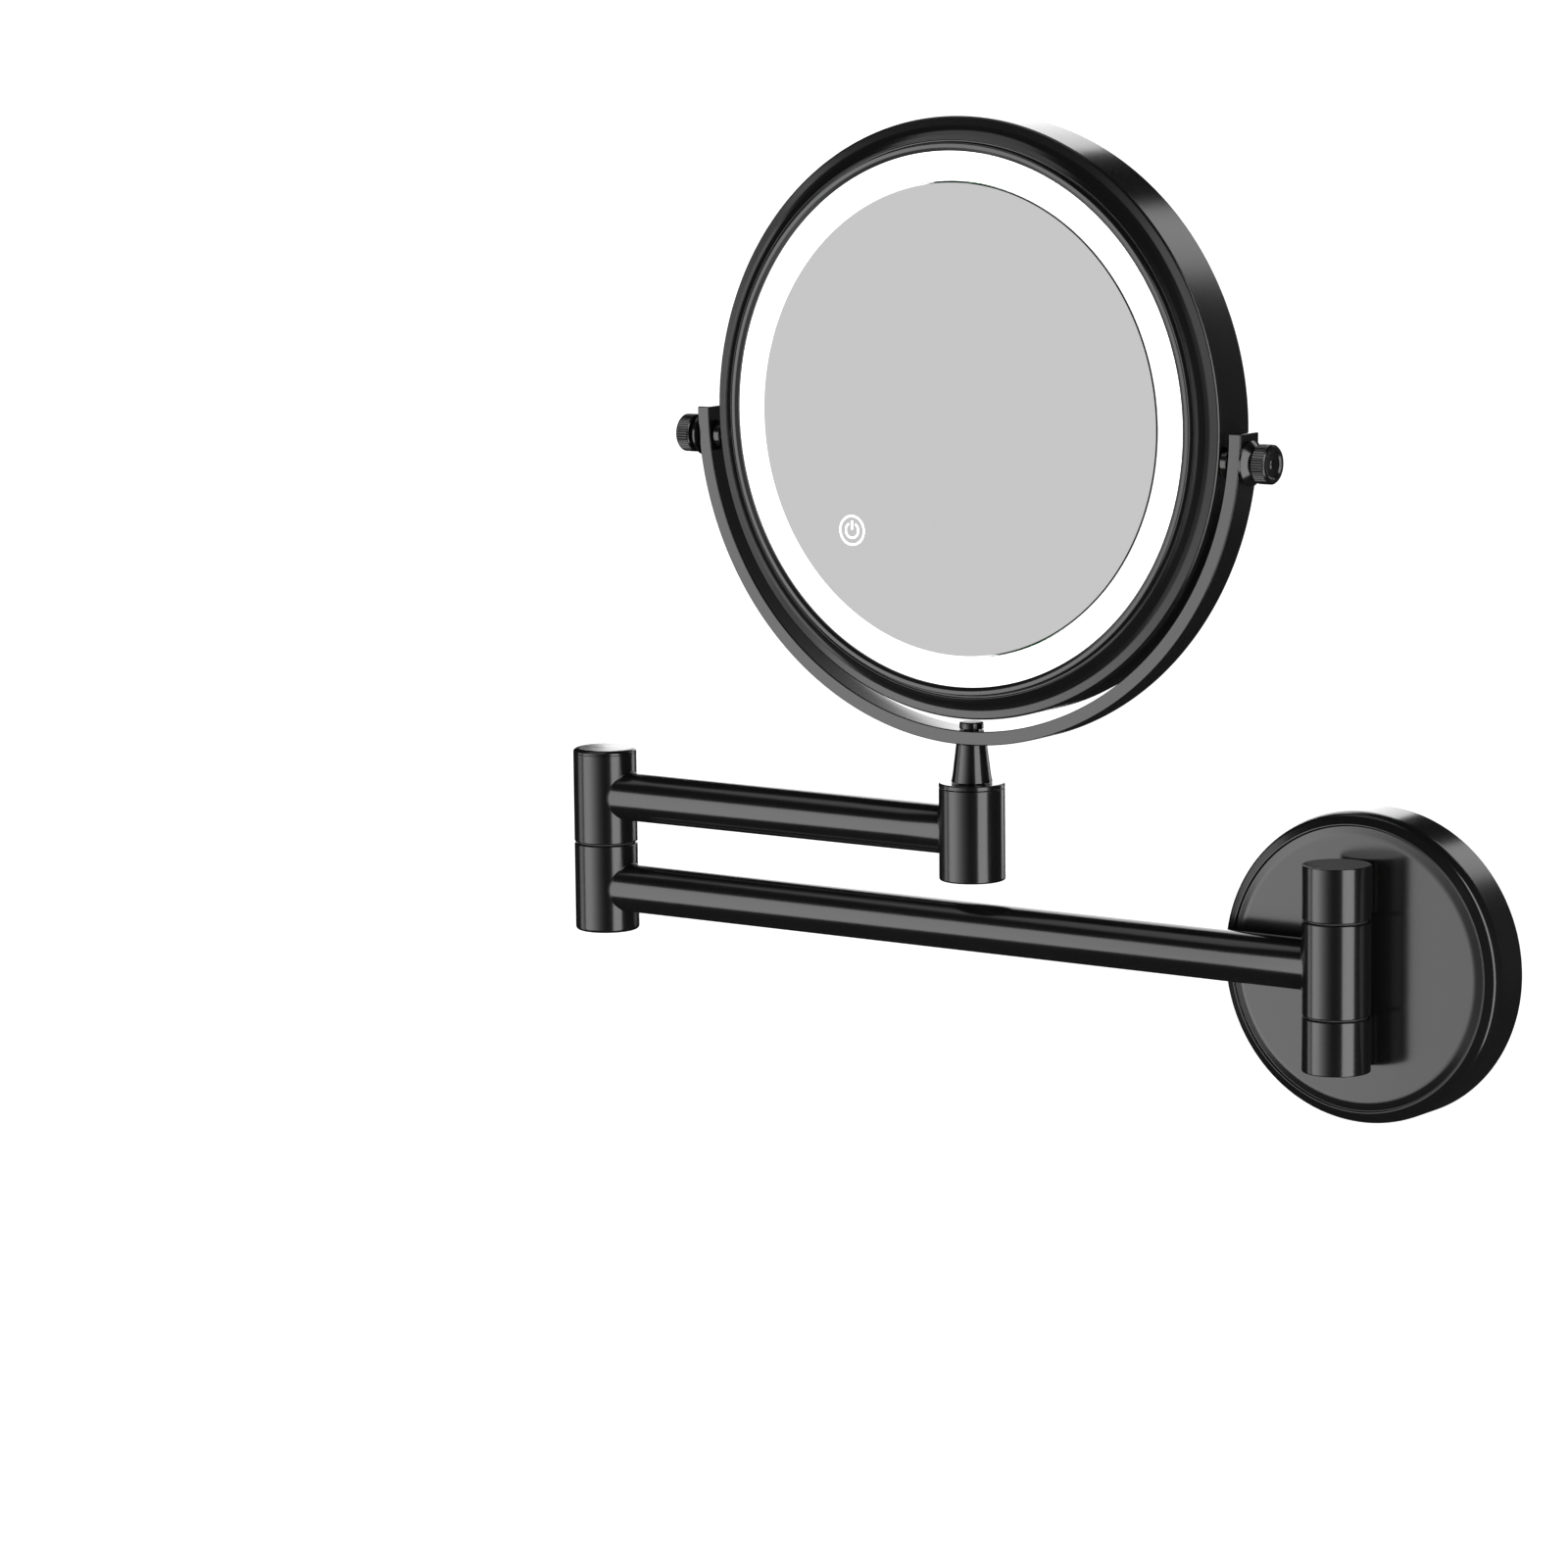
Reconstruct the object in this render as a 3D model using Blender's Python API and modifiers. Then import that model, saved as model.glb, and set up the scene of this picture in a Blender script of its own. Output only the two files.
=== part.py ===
"""Extendable wall-mounted shaving mirror: round rosette, two hinged arms, swivel post, yoke and lit head.

Metres, +Z up. The wall is the plane Y = 0, the object stands out towards -Y, and the origin is the centre
of the back of the rosette. The arms are folded parallel to the wall.
"""

import math

import bmesh
import bpy
from mathutils import Matrix, Vector

MM = 0.001

# Clearances
GAP = 0.3 * MM          # between pieces that touch or are welded
SEAM = 0.8 * MM         # visible seam at a turning joint, with its washer
WASHER = 0.5 * MM       # thickness of that washer
SLIP = 0.3 * MM         # radial clearance of a pin in its bore

# Wall unit
ROSETTE_RADIUS = 55.5 * MM
ROSETTE_DEPTH = 19.5 * MM
ROSETTE_WALL = 1.6 * MM
ROSETTE_FACE = 2.2 * MM
GROOVE_RADIUS = 50.2 * MM
GROOVE_WIDTH = 0.8 * MM
GROOVE_DEPTH = 0.5 * MM
GROOVE_LAND = 0.1 * MM       # flat between the groove and the rounded edge
FLANGE_RADIUS = 47.0 * MM
FLANGE_THICKNESS = 8.0 * MM
BOSS_RADIUS = 33.0 * MM
SLOT_SPACING = 80.0 * MM
SLOT_LENGTH = 9.0 * MM
SLOT_WIDTH = 5.0 * MM
BRACKET_SCREW_SPACING = 48.0 * MM
BRACKET_SCREW_REACH = 4.0 * MM    # past the bracket's front
BRACKET_HEAD_RADIUS = 4.4 * MM
BRACKET_HEAD_HEIGHT = 2.4 * MM
BRACKET_HEAD_SINK = 0.6 * MM      # heads lie below the bracket's back
BASE_PLATE_THICKNESS = 5.0 * MM
BASE_PLATE_WIDTH = 30.0 * MM
WEB_WIDTH = 14.0 * MM
SET_SCREW_RADIUS = 2.0 * MM

# Arms
HINGE_STANDOFF = 13.0 * MM   # hinge axis in front of the rosette's face
ARM_RISE = 2.6 * MM          # lower arm above the rosette's centre
BARREL_RADIUS = 12.1 * MM
BARREL_EDGE = 0.8 * MM
HUB_HEIGHT = 33.2 * MM
KNUCKLE_HEIGHT = 19.2 * MM
UPPER_BARREL_HEIGHT = 33.8 * MM
PIN_RADIUS = 4.0 * MM
BORE_FLOOR = 4.0 * MM        # solid end of a blind pin bore
PLUG_DEPTH = 3.0 * MM
TUBE_RADIUS = 9.1 * MM
TUBE_WALL = 1.5 * MM
LOWER_ARM_LENGTH = 321.0 * MM
UPPER_ARM_LENGTH = 168.0 * MM
CAP_THICKNESS = 1.6 * MM
LOCK_NUT_WIDTH = 13.0 * MM
LOCK_NUT_HEIGHT = 5.0 * MM
WELL_DEPTH = LOCK_NUT_HEIGHT + 4.0 * MM
WELL_CLEARANCE = 1.0 * MM    # for a socket round the nut
CAP_SPIGOT = 1.2 * MM
CAP_CROWN = 0.2 * MM
UPPER_TUBE_OFFSET = 0.7 * MM    # upper tube above the middle of its barrels

# Post and yoke
POST_FOOT_RADIUS = 7.5 * MM
POST_BASE_RADIUS = 6.9 * MM
POST_TOP_RADIUS = 5.6 * MM
POST_FOOT_HEIGHT = 3.5 * MM
POST_FOOT_LIP = 0.4 * MM
SPIGOT_RADIUS = 4.5 * MM
SHANK_RADIUS = 2.5 * MM
KEEPER_RADIUS = 7.5 * MM
KEEPER_DEPTH = 5.0 * MM
KEEPER_THICKNESS = 1.2 * MM
KEEPER_PLAY = 0.2 * MM
KEEPER_HEAD_RADIUS = 4.0 * MM
KEEPER_HEAD_HEIGHT = 2.4 * MM
KEEPER_SCREW_REACH = 8.0 * MM
PIVOT_DROP = 10.5 * MM       # tilt axis below the centre of the head
POST_HEIGHT = 13.8 * MM
YOKE_CLEARANCE = 4.25 * MM   # between the head and the yoke
YOKE_THICKNESS = 5.0 * MM
YOKE_DEPTH = 12.0 * MM
YOKE_EDGE = 0.5 * MM
CAP_NUT_RADIUS = 4.4 * MM
CAP_NUT_HEIGHT = 2.5 * MM
CAP_NUT_ROOF = 0.8 * MM
CAP_NUT_EDGE = 0.5 * MM

# Knobs and pivots
STUD_RADIUS = 3.0 * MM
KNOB_RADIUS = 7.0 * MM
KNOB_NECK_RADIUS = 5.2 * MM
KNOB_FLANGE_RADIUS = 8.0 * MM
KNOB_NECK_LENGTH = 3.8 * MM
KNOB_GRIP_LENGTH = 5.7 * MM
KNOB_EDGE = 0.6 * MM
KNOB_FLANGE_THICKNESS = 0.8 * MM
KNOB_CONE_LENGTH = 2.6 * MM
KNOB_BORE_DEPTH = 1.5 * MM      # into the grip
DIMPLE_RADIUS = 1.6 * MM
BUSH_RADIUS = 4.2 * MM
BUSH_LENGTH = 7.3 * MM
BUSH_SINK = 0.2 * MM
SPACER_RADIUS = 5.4 * MM

# Head; depths are measured forwards from the tilt axis
RING_WALL = 2.0 * MM
RIM_DEPTH = 4.9 * MM         # front edge of the side wall
LIGHT_WIDTH = 10.4 * MM      # visible width of the light ring
BEAD_WIDTH = 3.8 * MM
RIM_WIDTH = 8.85 * MM        # from the bead to the side wall
BEAD_DEPTH = 10.2 * MM
BEAD_EDGE = 1.0 * MM
BEAD_SIDE = 1.2 * MM
GROOVE_GAP = 0.7 * MM        # floor of the groove behind the bead
COVE_WIDTH = 5.5 * MM
COVE_DROP = 1.9 * MM
DIFFUSER_DEPTH = 8.5 * MM
DIFFUSER_THICKNESS = 2.0 * MM
GLASS_RADIUS = 85.2 * MM
GLASS_DEPTH = 9.0 * MM
GLASS_THICKNESS = 3.0 * MM
GLASS_EDGE = 0.5 * MM
TRAY_INSET = 0.9 * MM        # inside the edge of the bead
TRAY_BACK = -0.3 * MM
TRAY_WALL = 1.2 * MM
GLASS_LEDGE = 2.0 * MM       # overlap of the glass on the tray's inner wall
SCREW_POST_RADIUS = 3.5 * MM
COVER_THICKNESS = 2.0 * MM
POST_SCREW_RADIUS = 1.3 * MM
POST_SCREW_REACH = 8.0 * MM
SCREW_HEAD_RADIUS = 2.3 * MM
SCREW_HEAD_SINK = 0.2 * MM
DOOR_MARGIN = 4.5 * MM       # above and below the cells
DOOR_THICKNESS = 1.6 * MM
DOOR_SCREW_REACH = 9.5 * MM  # past the end of the cells
DOOR_END = 4.0 * MM          # past the screw
BOX_WALL = 1.2 * MM
CELL_RADIUS = 5.25 * MM
CELL_LENGTH = 44.5 * MM
CELL_NUB_RADIUS = 1.9 * MM
CELL_NUB_HEIGHT = 0.8 * MM
CELL_EDGE = 0.5 * MM
CELL_PLAY = 0.4 * MM         # between the cells and the cover
CONTACT_THICKNESS = 0.5 * MM
BOARD_THICKNESS = 1.2 * MM
LED_COUNT = 16
LED_SIZE = 2.8 * MM
TOUCH_BOARD_WIDTH = 26.0 * MM
ICON_X = -47.0 * MM
ICON_Z = -41.0 * MM

# Steps of the turned pieces
HEAD_STEPS = 48
INNER_STEPS = 32
BARREL_STEPS = 24
PIN_STEPS = 16
SCREW_STEPS = 10
YOKE_STEPS = 40

# Worked-out places
HINGE_Y = ROSETTE_DEPTH + HINGE_STANDOFF
HUB_TOP = HUB_HEIGHT / 2
WEB_HEIGHT = KNUCKLE_HEIGHT - 2.0 * MM
UPPER_BOTTOM = HUB_TOP + SEAM
UPPER_TOP = UPPER_BOTTOM + UPPER_BARREL_HEIGHT
UPPER_TUBE_RISE = UPPER_BOTTOM + UPPER_BARREL_HEIGHT / 2 + UPPER_TUBE_OFFSET
COLLAR_BOTTOM = UPPER_TOP + GAP
COLLAR_TOP = COLLAR_BOTTOM + CAP_THICKNESS
LIGHT_RADIUS = GLASS_RADIUS + LIGHT_WIDTH
BEAD_OUTER = LIGHT_RADIUS + BEAD_WIDTH
TRAY_RADIUS = BEAD_OUTER - TRAY_INSET
HEAD_RADIUS = BEAD_OUTER + RIM_WIDTH
RING_BACK = TRAY_BACK - BOX_WALL - 2 * CELL_RADIUS - CELL_PLAY - COVER_THICKNESS - 2 * GAP
DOOR_SCREW_X = CELL_LENGTH + DOOR_SCREW_REACH
DOOR_WIDTH = 2 * (DOOR_SCREW_X + DOOR_END)
DOOR_HEIGHT = 4 * CELL_RADIUS + 2 * DOOR_MARGIN
COVER_SCREW_RADIUS = (GLASS_RADIUS - GLASS_LEDGE + TRAY_RADIUS - TRAY_WALL) / 2
YOKE_INNER = HEAD_RADIUS + YOKE_CLEARANCE
YOKE_RADIUS = YOKE_INNER + YOKE_THICKNESS
YOKE_CENTRE = COLLAR_TOP + GAP + POST_HEIGHT + GAP + YOKE_RADIUS
PIVOT_RISE = YOKE_CENTRE - PIVOT_DROP      # tilt axis above the lower arm

BLACK_METAL = ("satin_black_metal", (0.016, 0.016, 0.017), 0.32, 0.0)
BLACK_PLASTIC = ("black_plastic", (0.02, 0.02, 0.021), 0.5, 0.0)
STEEL = ("steel", (0.45, 0.45, 0.46), 0.35, 1.0)
CAST_METAL = ("cast_metal", (0.55, 0.55, 0.56), 0.5, 1.0)
NYLON = ("nylon", (0.03, 0.03, 0.03), 0.6, 0.0)
BRASS = ("brass", (0.6, 0.42, 0.16), 0.35, 1.0)
WHITE_PLASTIC = ("white_plastic", (0.8, 0.8, 0.79), 0.5, 0.0)
DIFFUSER = ("light_diffuser", (0.95, 0.95, 0.95), 0.45, 0.0)
MIRROR = ("mirror_glass", (0.75, 0.75, 0.75), 0.05, 1.0)
BOARD = ("circuit_board", (0.05, 0.25, 0.1), 0.5, 0.0)
CELL = ("battery_cell", (0.15, 0.15, 0.17), 0.4, 0.3)

UP = Matrix.Identity(4)
FORWARD = Matrix.Rotation(math.radians(90), 4, "X")     # local +Z looks out of the wall
SIDEWAYS = Matrix.Rotation(math.radians(90), 4, "Y")    # local +Z looks along +X


def clear_scene():
    for obj in list(bpy.data.objects):
        bpy.data.objects.remove(obj, do_unlink=True)


def new_collection(name):
    collection = bpy.data.collections.new(name)
    bpy.context.scene.collection.children.link(collection)
    return collection


def finish_material(finish):
    name, colour, roughness, metallic = finish
    found = bpy.data.materials.get(name)
    if found:
        return found
    made = bpy.data.materials.new(name)
    made.use_nodes = True
    shader = made.node_tree.nodes["Principled BSDF"]
    shader.inputs["Base Color"].default_value = (*colour, 1.0)
    shader.inputs["Roughness"].default_value = roughness
    shader.inputs["Metallic"].default_value = metallic
    return made


def joint_axis(name, place, parent=None):
    """An empty on a joint's axis, which carries the pieces that turn about it."""
    empty = bpy.data.objects.new(name, None)
    PARTS.objects.link(empty)
    empty.parent = parent
    empty.location = place
    return empty


def add_piece(name, mesh, finish, parent, place=(0, 0, 0), turn=UP):
    piece = bpy.data.objects.new(name, mesh)
    PARTS.objects.link(piece)
    piece.parent = parent
    piece.matrix_basis = Matrix.Translation(Vector(place)) @ turn
    mesh.materials.append(finish_material(finish))
    return piece


def add_cutter(name, mesh, parent, place=(0, 0, 0), turn=UP):
    tool = bpy.data.objects.new(name, mesh)
    CUTTERS.objects.link(tool)
    tool.parent = parent
    tool.matrix_basis = Matrix.Translation(Vector(place)) @ turn
    tool.hide_render = True
    tool.display_type = "WIRE"
    return tool


def combine(piece, tool, operation="DIFFERENCE"):
    modifier = piece.modifiers.new(tool.name, "BOOLEAN")
    modifier.operation = operation
    modifier.solver = "EXACT"
    modifier.object = tool


def filleted(outline, segments=2):
    """Replaces each point that has a third value, its fillet radius, by an arc between its neighbours."""
    points = []
    for index, corner in enumerate(outline):
        point = Vector(corner[:2])
        if len(corner) < 3:
            points.append(point)
            continue
        to_last = (Vector(outline[index - 1][:2]) - point).normalized()
        to_next = (Vector(outline[(index + 1) % len(outline)][:2]) - point).normalized()
        half = to_last.angle(to_next) / 2
        centre = point + (to_last + to_next).normalized() * corner[2] / math.sin(half)
        start = point + to_last * corner[2] / math.tan(half) - centre
        end = point + to_next * corner[2] / math.tan(half) - centre
        sweep = start.angle_signed(end)
        for step in range(segments + 1):
            points.append(centre + Matrix.Rotation(-sweep * step / segments, 2) @ start)
    return points


def turned_mesh(name, outline, closed):
    mesh = bpy.data.meshes.new(name)
    points = [(point.x, 0.0, point.y) for point in filleted(outline)]
    edges = [(i, i + 1) for i in range(len(points) - 1)]
    if closed:
        edges.append((len(points) - 1, 0))
    mesh.from_pydata(points, edges, [])
    return mesh


def spin(piece, steps):
    screw = piece.modifiers.new("turn", "SCREW")
    screw.steps = steps
    screw.render_steps = steps
    screw.use_merge_vertices = True
    screw.merge_threshold = 0.00001
    screw.use_smooth_shade = True
    return piece


def turned(name, outline, finish, parent, place=(0, 0, 0), turn=UP, steps=PIN_STEPS, closed=False):
    """A lathe-turned piece: points (radius, height) down the outer side and, if closed, up the bore."""
    mesh = turned_mesh(name, outline, closed)
    return spin(add_piece(name, mesh, finish, parent, place, turn), steps)


def turned_cutter(name, outline, parent, place=(0, 0, 0), turn=UP, steps=PIN_STEPS):
    return spin(add_cutter(name, turned_mesh(name, outline, False), parent, place, turn), steps)


def outwards(side):
    """Turns local +Z along +X on the right side (1) or -X on the left side (-1)."""
    return SIDEWAYS if side > 0 else Matrix.Rotation(math.pi, 4, "Z") @ SIDEWAYS


def rod(radius, top, bottom):
    return [(0, top), (radius, top), (radius, bottom), (0, bottom)]


def tube(outer, inner, top, bottom, edge=0.0):
    soft = (edge,) if edge else ()
    return [(inner, top), (outer, top, *soft), (outer, bottom, *soft), (inner, bottom)]


def box_mesh(name, size):
    mesh = bpy.data.meshes.new(name)
    shape = bmesh.new()
    bmesh.ops.create_cube(shape, size=1.0)
    bmesh.ops.scale(shape, vec=size, verts=shape.verts)
    shape.to_mesh(mesh)
    shape.free()
    return mesh


def prism_mesh(name, sides, across_flats, height):
    mesh = bpy.data.meshes.new(name)
    shape = bmesh.new()
    radius = across_flats / 2 / math.cos(math.pi / sides)
    bmesh.ops.create_cone(
        shape, cap_ends=True, segments=sides, radius1=radius, radius2=radius, depth=height,
    )
    shape.to_mesh(mesh)
    shape.free()
    return mesh


def bevel(piece, width, segments=1):
    modifier = piece.modifiers.new("edges", "BEVEL")
    modifier.width = width
    modifier.segments = segments
    modifier.limit_method = "ANGLE"
    modifier.angle_limit = math.radians(40)


# Wall unit


def make_wall_bracket(wall):
    front = ROSETTE_DEPTH - ROSETTE_FACE - BASE_PLATE_THICKNESS - 2 * GAP
    outline = [
        (0, front), (BOSS_RADIUS, front), (BOSS_RADIUS, FLANGE_THICKNESS),
        (FLANGE_RADIUS, FLANGE_THICKNESS), (FLANGE_RADIUS, 0), (0, 0),
    ]
    bracket = turned("wall_bracket", outline, CAST_METAL, wall, turn=FORWARD, steps=BARREL_STEPS)
    for side in (-1, 1):
        centre = (side * SLOT_SPACING / 2, -FLANGE_THICKNESS / 2, 0)
        slot = box_mesh("screw_slot", (SLOT_LENGTH, 2 * FLANGE_THICKNESS, SLOT_WIDTH))
        combine(bracket, add_cutter("screw_slot", slot, wall, centre))
        seat = BRACKET_HEAD_SINK + BRACKET_HEAD_HEIGHT
        shaft = SET_SCREW_RADIUS + SLIP
        recess = BRACKET_HEAD_RADIUS + GAP
        hole = [
            (0, front + GAP), (shaft, front + GAP), (shaft, seat + GAP), (recess, seat + GAP),
            (recess, -GAP), (0, -GAP),
        ]
        place = (0, 0, side * BRACKET_SCREW_SPACING / 2)
        combine(bracket, turned_cutter("bracket_screw_hole", hole, wall, place, FORWARD))
        tip = front + BRACKET_SCREW_REACH
        screw = [
            (0, tip), (SET_SCREW_RADIUS, tip), (SET_SCREW_RADIUS, seat),
            (BRACKET_HEAD_RADIUS, seat), (BRACKET_HEAD_RADIUS, BRACKET_HEAD_SINK), (0, BRACKET_HEAD_SINK),
        ]
        name = "bracket_screw_upper" if side > 0 else "bracket_screw_lower"
        turned(name, screw, STEEL, wall, place, FORWARD)


def make_rosette(wall):
    face = ROSETTE_DEPTH
    edge = ROSETTE_RADIUS - GROOVE_RADIUS - GROOVE_WIDTH - GROOVE_LAND
    outline = [
        (0, face), (GROOVE_RADIUS, face), (GROOVE_RADIUS, face - GROOVE_DEPTH),
        (GROOVE_RADIUS + GROOVE_WIDTH, face - GROOVE_DEPTH), (GROOVE_RADIUS + GROOVE_WIDTH, face),
        (ROSETTE_RADIUS, face, edge), (ROSETTE_RADIUS, 0),
        (ROSETTE_RADIUS - ROSETTE_WALL, 0),
        (ROSETTE_RADIUS - ROSETTE_WALL, face - ROSETTE_FACE, edge - ROSETTE_WALL),
        (0, face - ROSETTE_FACE),
    ]
    rosette = turned("rosette", outline, BLACK_METAL, wall, turn=FORWARD, steps=HEAD_STEPS)
    for side in (-1, 1):
        middle = ARM_RISE + side * (HUB_TOP + SEAM + KNUCKLE_HEIGHT / 2)
        window = box_mesh("web_window", (WEB_WIDTH + 2 * GAP, 4 * ROSETTE_FACE, WEB_HEIGHT + 2 * GAP))
        combine(rosette, add_cutter("web_window", window, wall, (0, -face + ROSETTE_FACE / 2, middle)))
    hole = turned_cutter(
        "set_screw_hole", rod(SET_SCREW_RADIUS + SLIP, 0, -ROSETTE_RADIUS * 1.1), wall,
        (0, -FLANGE_THICKNESS / 2, 0),
    )
    combine(rosette, hole)
    turned(
        "rosette_set_screw", rod(SET_SCREW_RADIUS, -FLANGE_RADIUS - GAP, -ROSETTE_RADIUS + GAP), STEEL, wall,
        (0, -FLANGE_THICKNESS / 2, 0),
    )


def make_hinge_bracket(wall):
    """Two knuckles on webs that reach through the rosette to a base plate behind its face."""
    back = ROSETTE_DEPTH - ROSETTE_FACE - GAP
    height = 2 * (HUB_TOP + SEAM) + KNUCKLE_HEIGHT + WEB_HEIGHT
    plate = box_mesh("hinge_bracket", (BASE_PLATE_WIDTH, BASE_PLATE_THICKNESS, height))
    centre = Vector((0, -back + BASE_PLATE_THICKNESS / 2, ARM_RISE))
    bracket = add_piece("hinge_bracket", plate, BLACK_METAL, wall, centre)
    low = HUB_TOP + SEAM
    high = low + KNUCKLE_HEIGHT
    for side in (-1, 1):
        middle = ARM_RISE + side * (low + high) / 2
        reach = HINGE_Y - back + BASE_PLATE_THICKNESS / 2
        web = box_mesh("web", (WEB_WIDTH, reach, WEB_HEIGHT))
        web_place = (0, -HINGE_Y + reach / 2, middle)
        combine(bracket, add_cutter("web", web, wall, web_place), "UNION")
        top, bottom = sorted((side * low, side * high), reverse=True)
        outline = [
            (0, top), (BARREL_RADIUS, top, BARREL_EDGE), (BARREL_RADIUS, bottom, BARREL_EDGE), (0, bottom),
        ]
        knuckle = turned_cutter("knuckle", outline, wall, (0, -HINGE_Y, ARM_RISE), steps=BARREL_STEPS)
        combine(bracket, knuckle, "UNION")
        hole = rod(SET_SCREW_RADIUS + SLIP, back + BRACKET_SCREW_REACH / 2, back - BASE_PLATE_THICKNESS - GAP)
        place = (0, 0, side * BRACKET_SCREW_SPACING / 2)
        combine(bracket, turned_cutter("screw_hole", hole, wall, place, FORWARD))
    bore = rod(PIN_RADIUS + SLIP, high - BORE_FLOOR, -high - GAP)
    combine(bracket, turned_cutter("pin_bore", bore, wall, (0, -HINGE_Y, ARM_RISE)))
    hinge = (0, -HINGE_Y, ARM_RISE)
    turned("wall_hinge_pin", rod(PIN_RADIUS, high - BORE_FLOOR - GAP, -high + PLUG_DEPTH), STEEL, wall, hinge)
    turned("wall_pin_plug", rod(PIN_RADIUS, -high + PLUG_DEPTH - GAP, -high + GAP), BLACK_METAL, wall, hinge)
    spare = (SEAM - WASHER) / 2
    for name, bottom in (("wall_washer_upper", HUB_TOP), ("wall_washer_lower", -HUB_TOP - SEAM)):
        outline = tube(BARREL_RADIUS - MM, PIN_RADIUS + SLIP, bottom + spare + WASHER, bottom + spare)
        turned(name, outline, NYLON, wall, hinge, closed=True)


# Arms


def make_arm_tube(name, parent, start, length, rise):
    """A straight tube along X, its ends cut to sit on the two barrels."""
    outline = tube(TUBE_RADIUS, TUBE_RADIUS - TUBE_WALL, length, 0)
    arm = turned(name, outline, BLACK_METAL, parent, (start, 0, rise), SIDEWAYS, BARREL_STEPS, True)
    for end in (start, start + length):
        saddle = rod(BARREL_RADIUS + GAP, 2 * TUBE_RADIUS, -2 * TUBE_RADIUS)
        combine(arm, turned_cutter("saddle", saddle, parent, (end, 0, rise), steps=BARREL_STEPS))


def make_lower_arm(arm):
    hub = tube(BARREL_RADIUS, PIN_RADIUS + SLIP, HUB_TOP, -HUB_TOP, BARREL_EDGE / 2)
    turned("lower_arm_hub", hub, BLACK_METAL, arm, steps=BARREL_STEPS, closed=True)
    make_arm_tube("lower_arm_tube", arm, -LOWER_ARM_LENGTH, LOWER_ARM_LENGTH, 0)
    elbow = (-LOWER_ARM_LENGTH, 0, 0)
    floor = -HUB_TOP + BORE_FLOOR
    barrel = [
        (0, floor), (PIN_RADIUS + SLIP, floor), (PIN_RADIUS + SLIP, HUB_TOP),
        (BARREL_RADIUS, HUB_TOP, BARREL_EDGE / 2), (BARREL_RADIUS, -HUB_TOP, BARREL_EDGE * 1.5), (0, -HUB_TOP),
    ]
    turned("elbow_lower_barrel", barrel, BLACK_METAL, arm, elbow, steps=BARREL_STEPS)
    seat = UPPER_TOP - WELL_DEPTH
    pin = rod(PIN_RADIUS, (seat + LOCK_NUT_HEIGHT + UPPER_TOP) / 2, floor + GAP)
    turned("elbow_pin", pin, STEEL, arm, elbow)
    place = (elbow[0], 0, seat + GAP + LOCK_NUT_HEIGHT / 2)
    nut = add_piece("elbow_lock_nut", prism_mesh("nut", 6, LOCK_NUT_WIDTH, LOCK_NUT_HEIGHT), STEEL, arm, place)
    bore = rod(PIN_RADIUS + SLIP, LOCK_NUT_HEIGHT, -LOCK_NUT_HEIGHT)
    combine(nut, turned_cutter("nut_bore", bore, arm, place))
    spare = (SEAM - WASHER) / 2
    washer = tube(BARREL_RADIUS - MM, PIN_RADIUS + SLIP, HUB_TOP + spare + WASHER, HUB_TOP + spare)
    turned("elbow_washer", washer, NYLON, arm, elbow, closed=True)


def make_upper_arm(arm):
    seat = UPPER_TOP - WELL_DEPTH
    well = LOCK_NUT_WIDTH / 2 / math.cos(math.pi / 6) + WELL_CLEARANCE
    elbow = [
        (well, UPPER_TOP), (BARREL_RADIUS, UPPER_TOP, BARREL_EDGE / 3),
        (BARREL_RADIUS, UPPER_BOTTOM, BARREL_EDGE / 2), (PIN_RADIUS + SLIP, UPPER_BOTTOM),
        (PIN_RADIUS + SLIP, seat), (well, seat),
    ]
    turned("elbow_upper_barrel", elbow, BLACK_METAL, arm, steps=BARREL_STEPS, closed=True)
    cap = [
        (0, COLLAR_TOP), (BARREL_RADIUS, COLLAR_TOP - CAP_CROWN, CAP_THICKNESS * 0.7),
        (BARREL_RADIUS, COLLAR_BOTTOM), (well - GAP, COLLAR_BOTTOM),
        (well - GAP, UPPER_TOP - CAP_SPIGOT), (0, UPPER_TOP - CAP_SPIGOT),
    ]
    turned("elbow_cap", cap, BLACK_METAL, arm, steps=BARREL_STEPS)
    make_arm_tube("upper_arm_tube", arm, 0, UPPER_ARM_LENGTH, UPPER_TUBE_RISE)
    keeper_roof = UPPER_BOTTOM + KEEPER_DEPTH
    barrel = [
        (SPIGOT_RADIUS + SLIP, UPPER_TOP), (BARREL_RADIUS, UPPER_TOP, BARREL_EDGE / 3),
        (BARREL_RADIUS, UPPER_BOTTOM, BARREL_EDGE), (KEEPER_RADIUS + SLIP, UPPER_BOTTOM),
        (KEEPER_RADIUS + SLIP, keeper_roof), (SPIGOT_RADIUS + SLIP, keeper_roof),
    ]
    turned("mirror_barrel", barrel, BLACK_METAL, arm, (UPPER_ARM_LENGTH, 0, 0), steps=BARREL_STEPS, closed=True)


# Swivel: post and yoke


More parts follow.
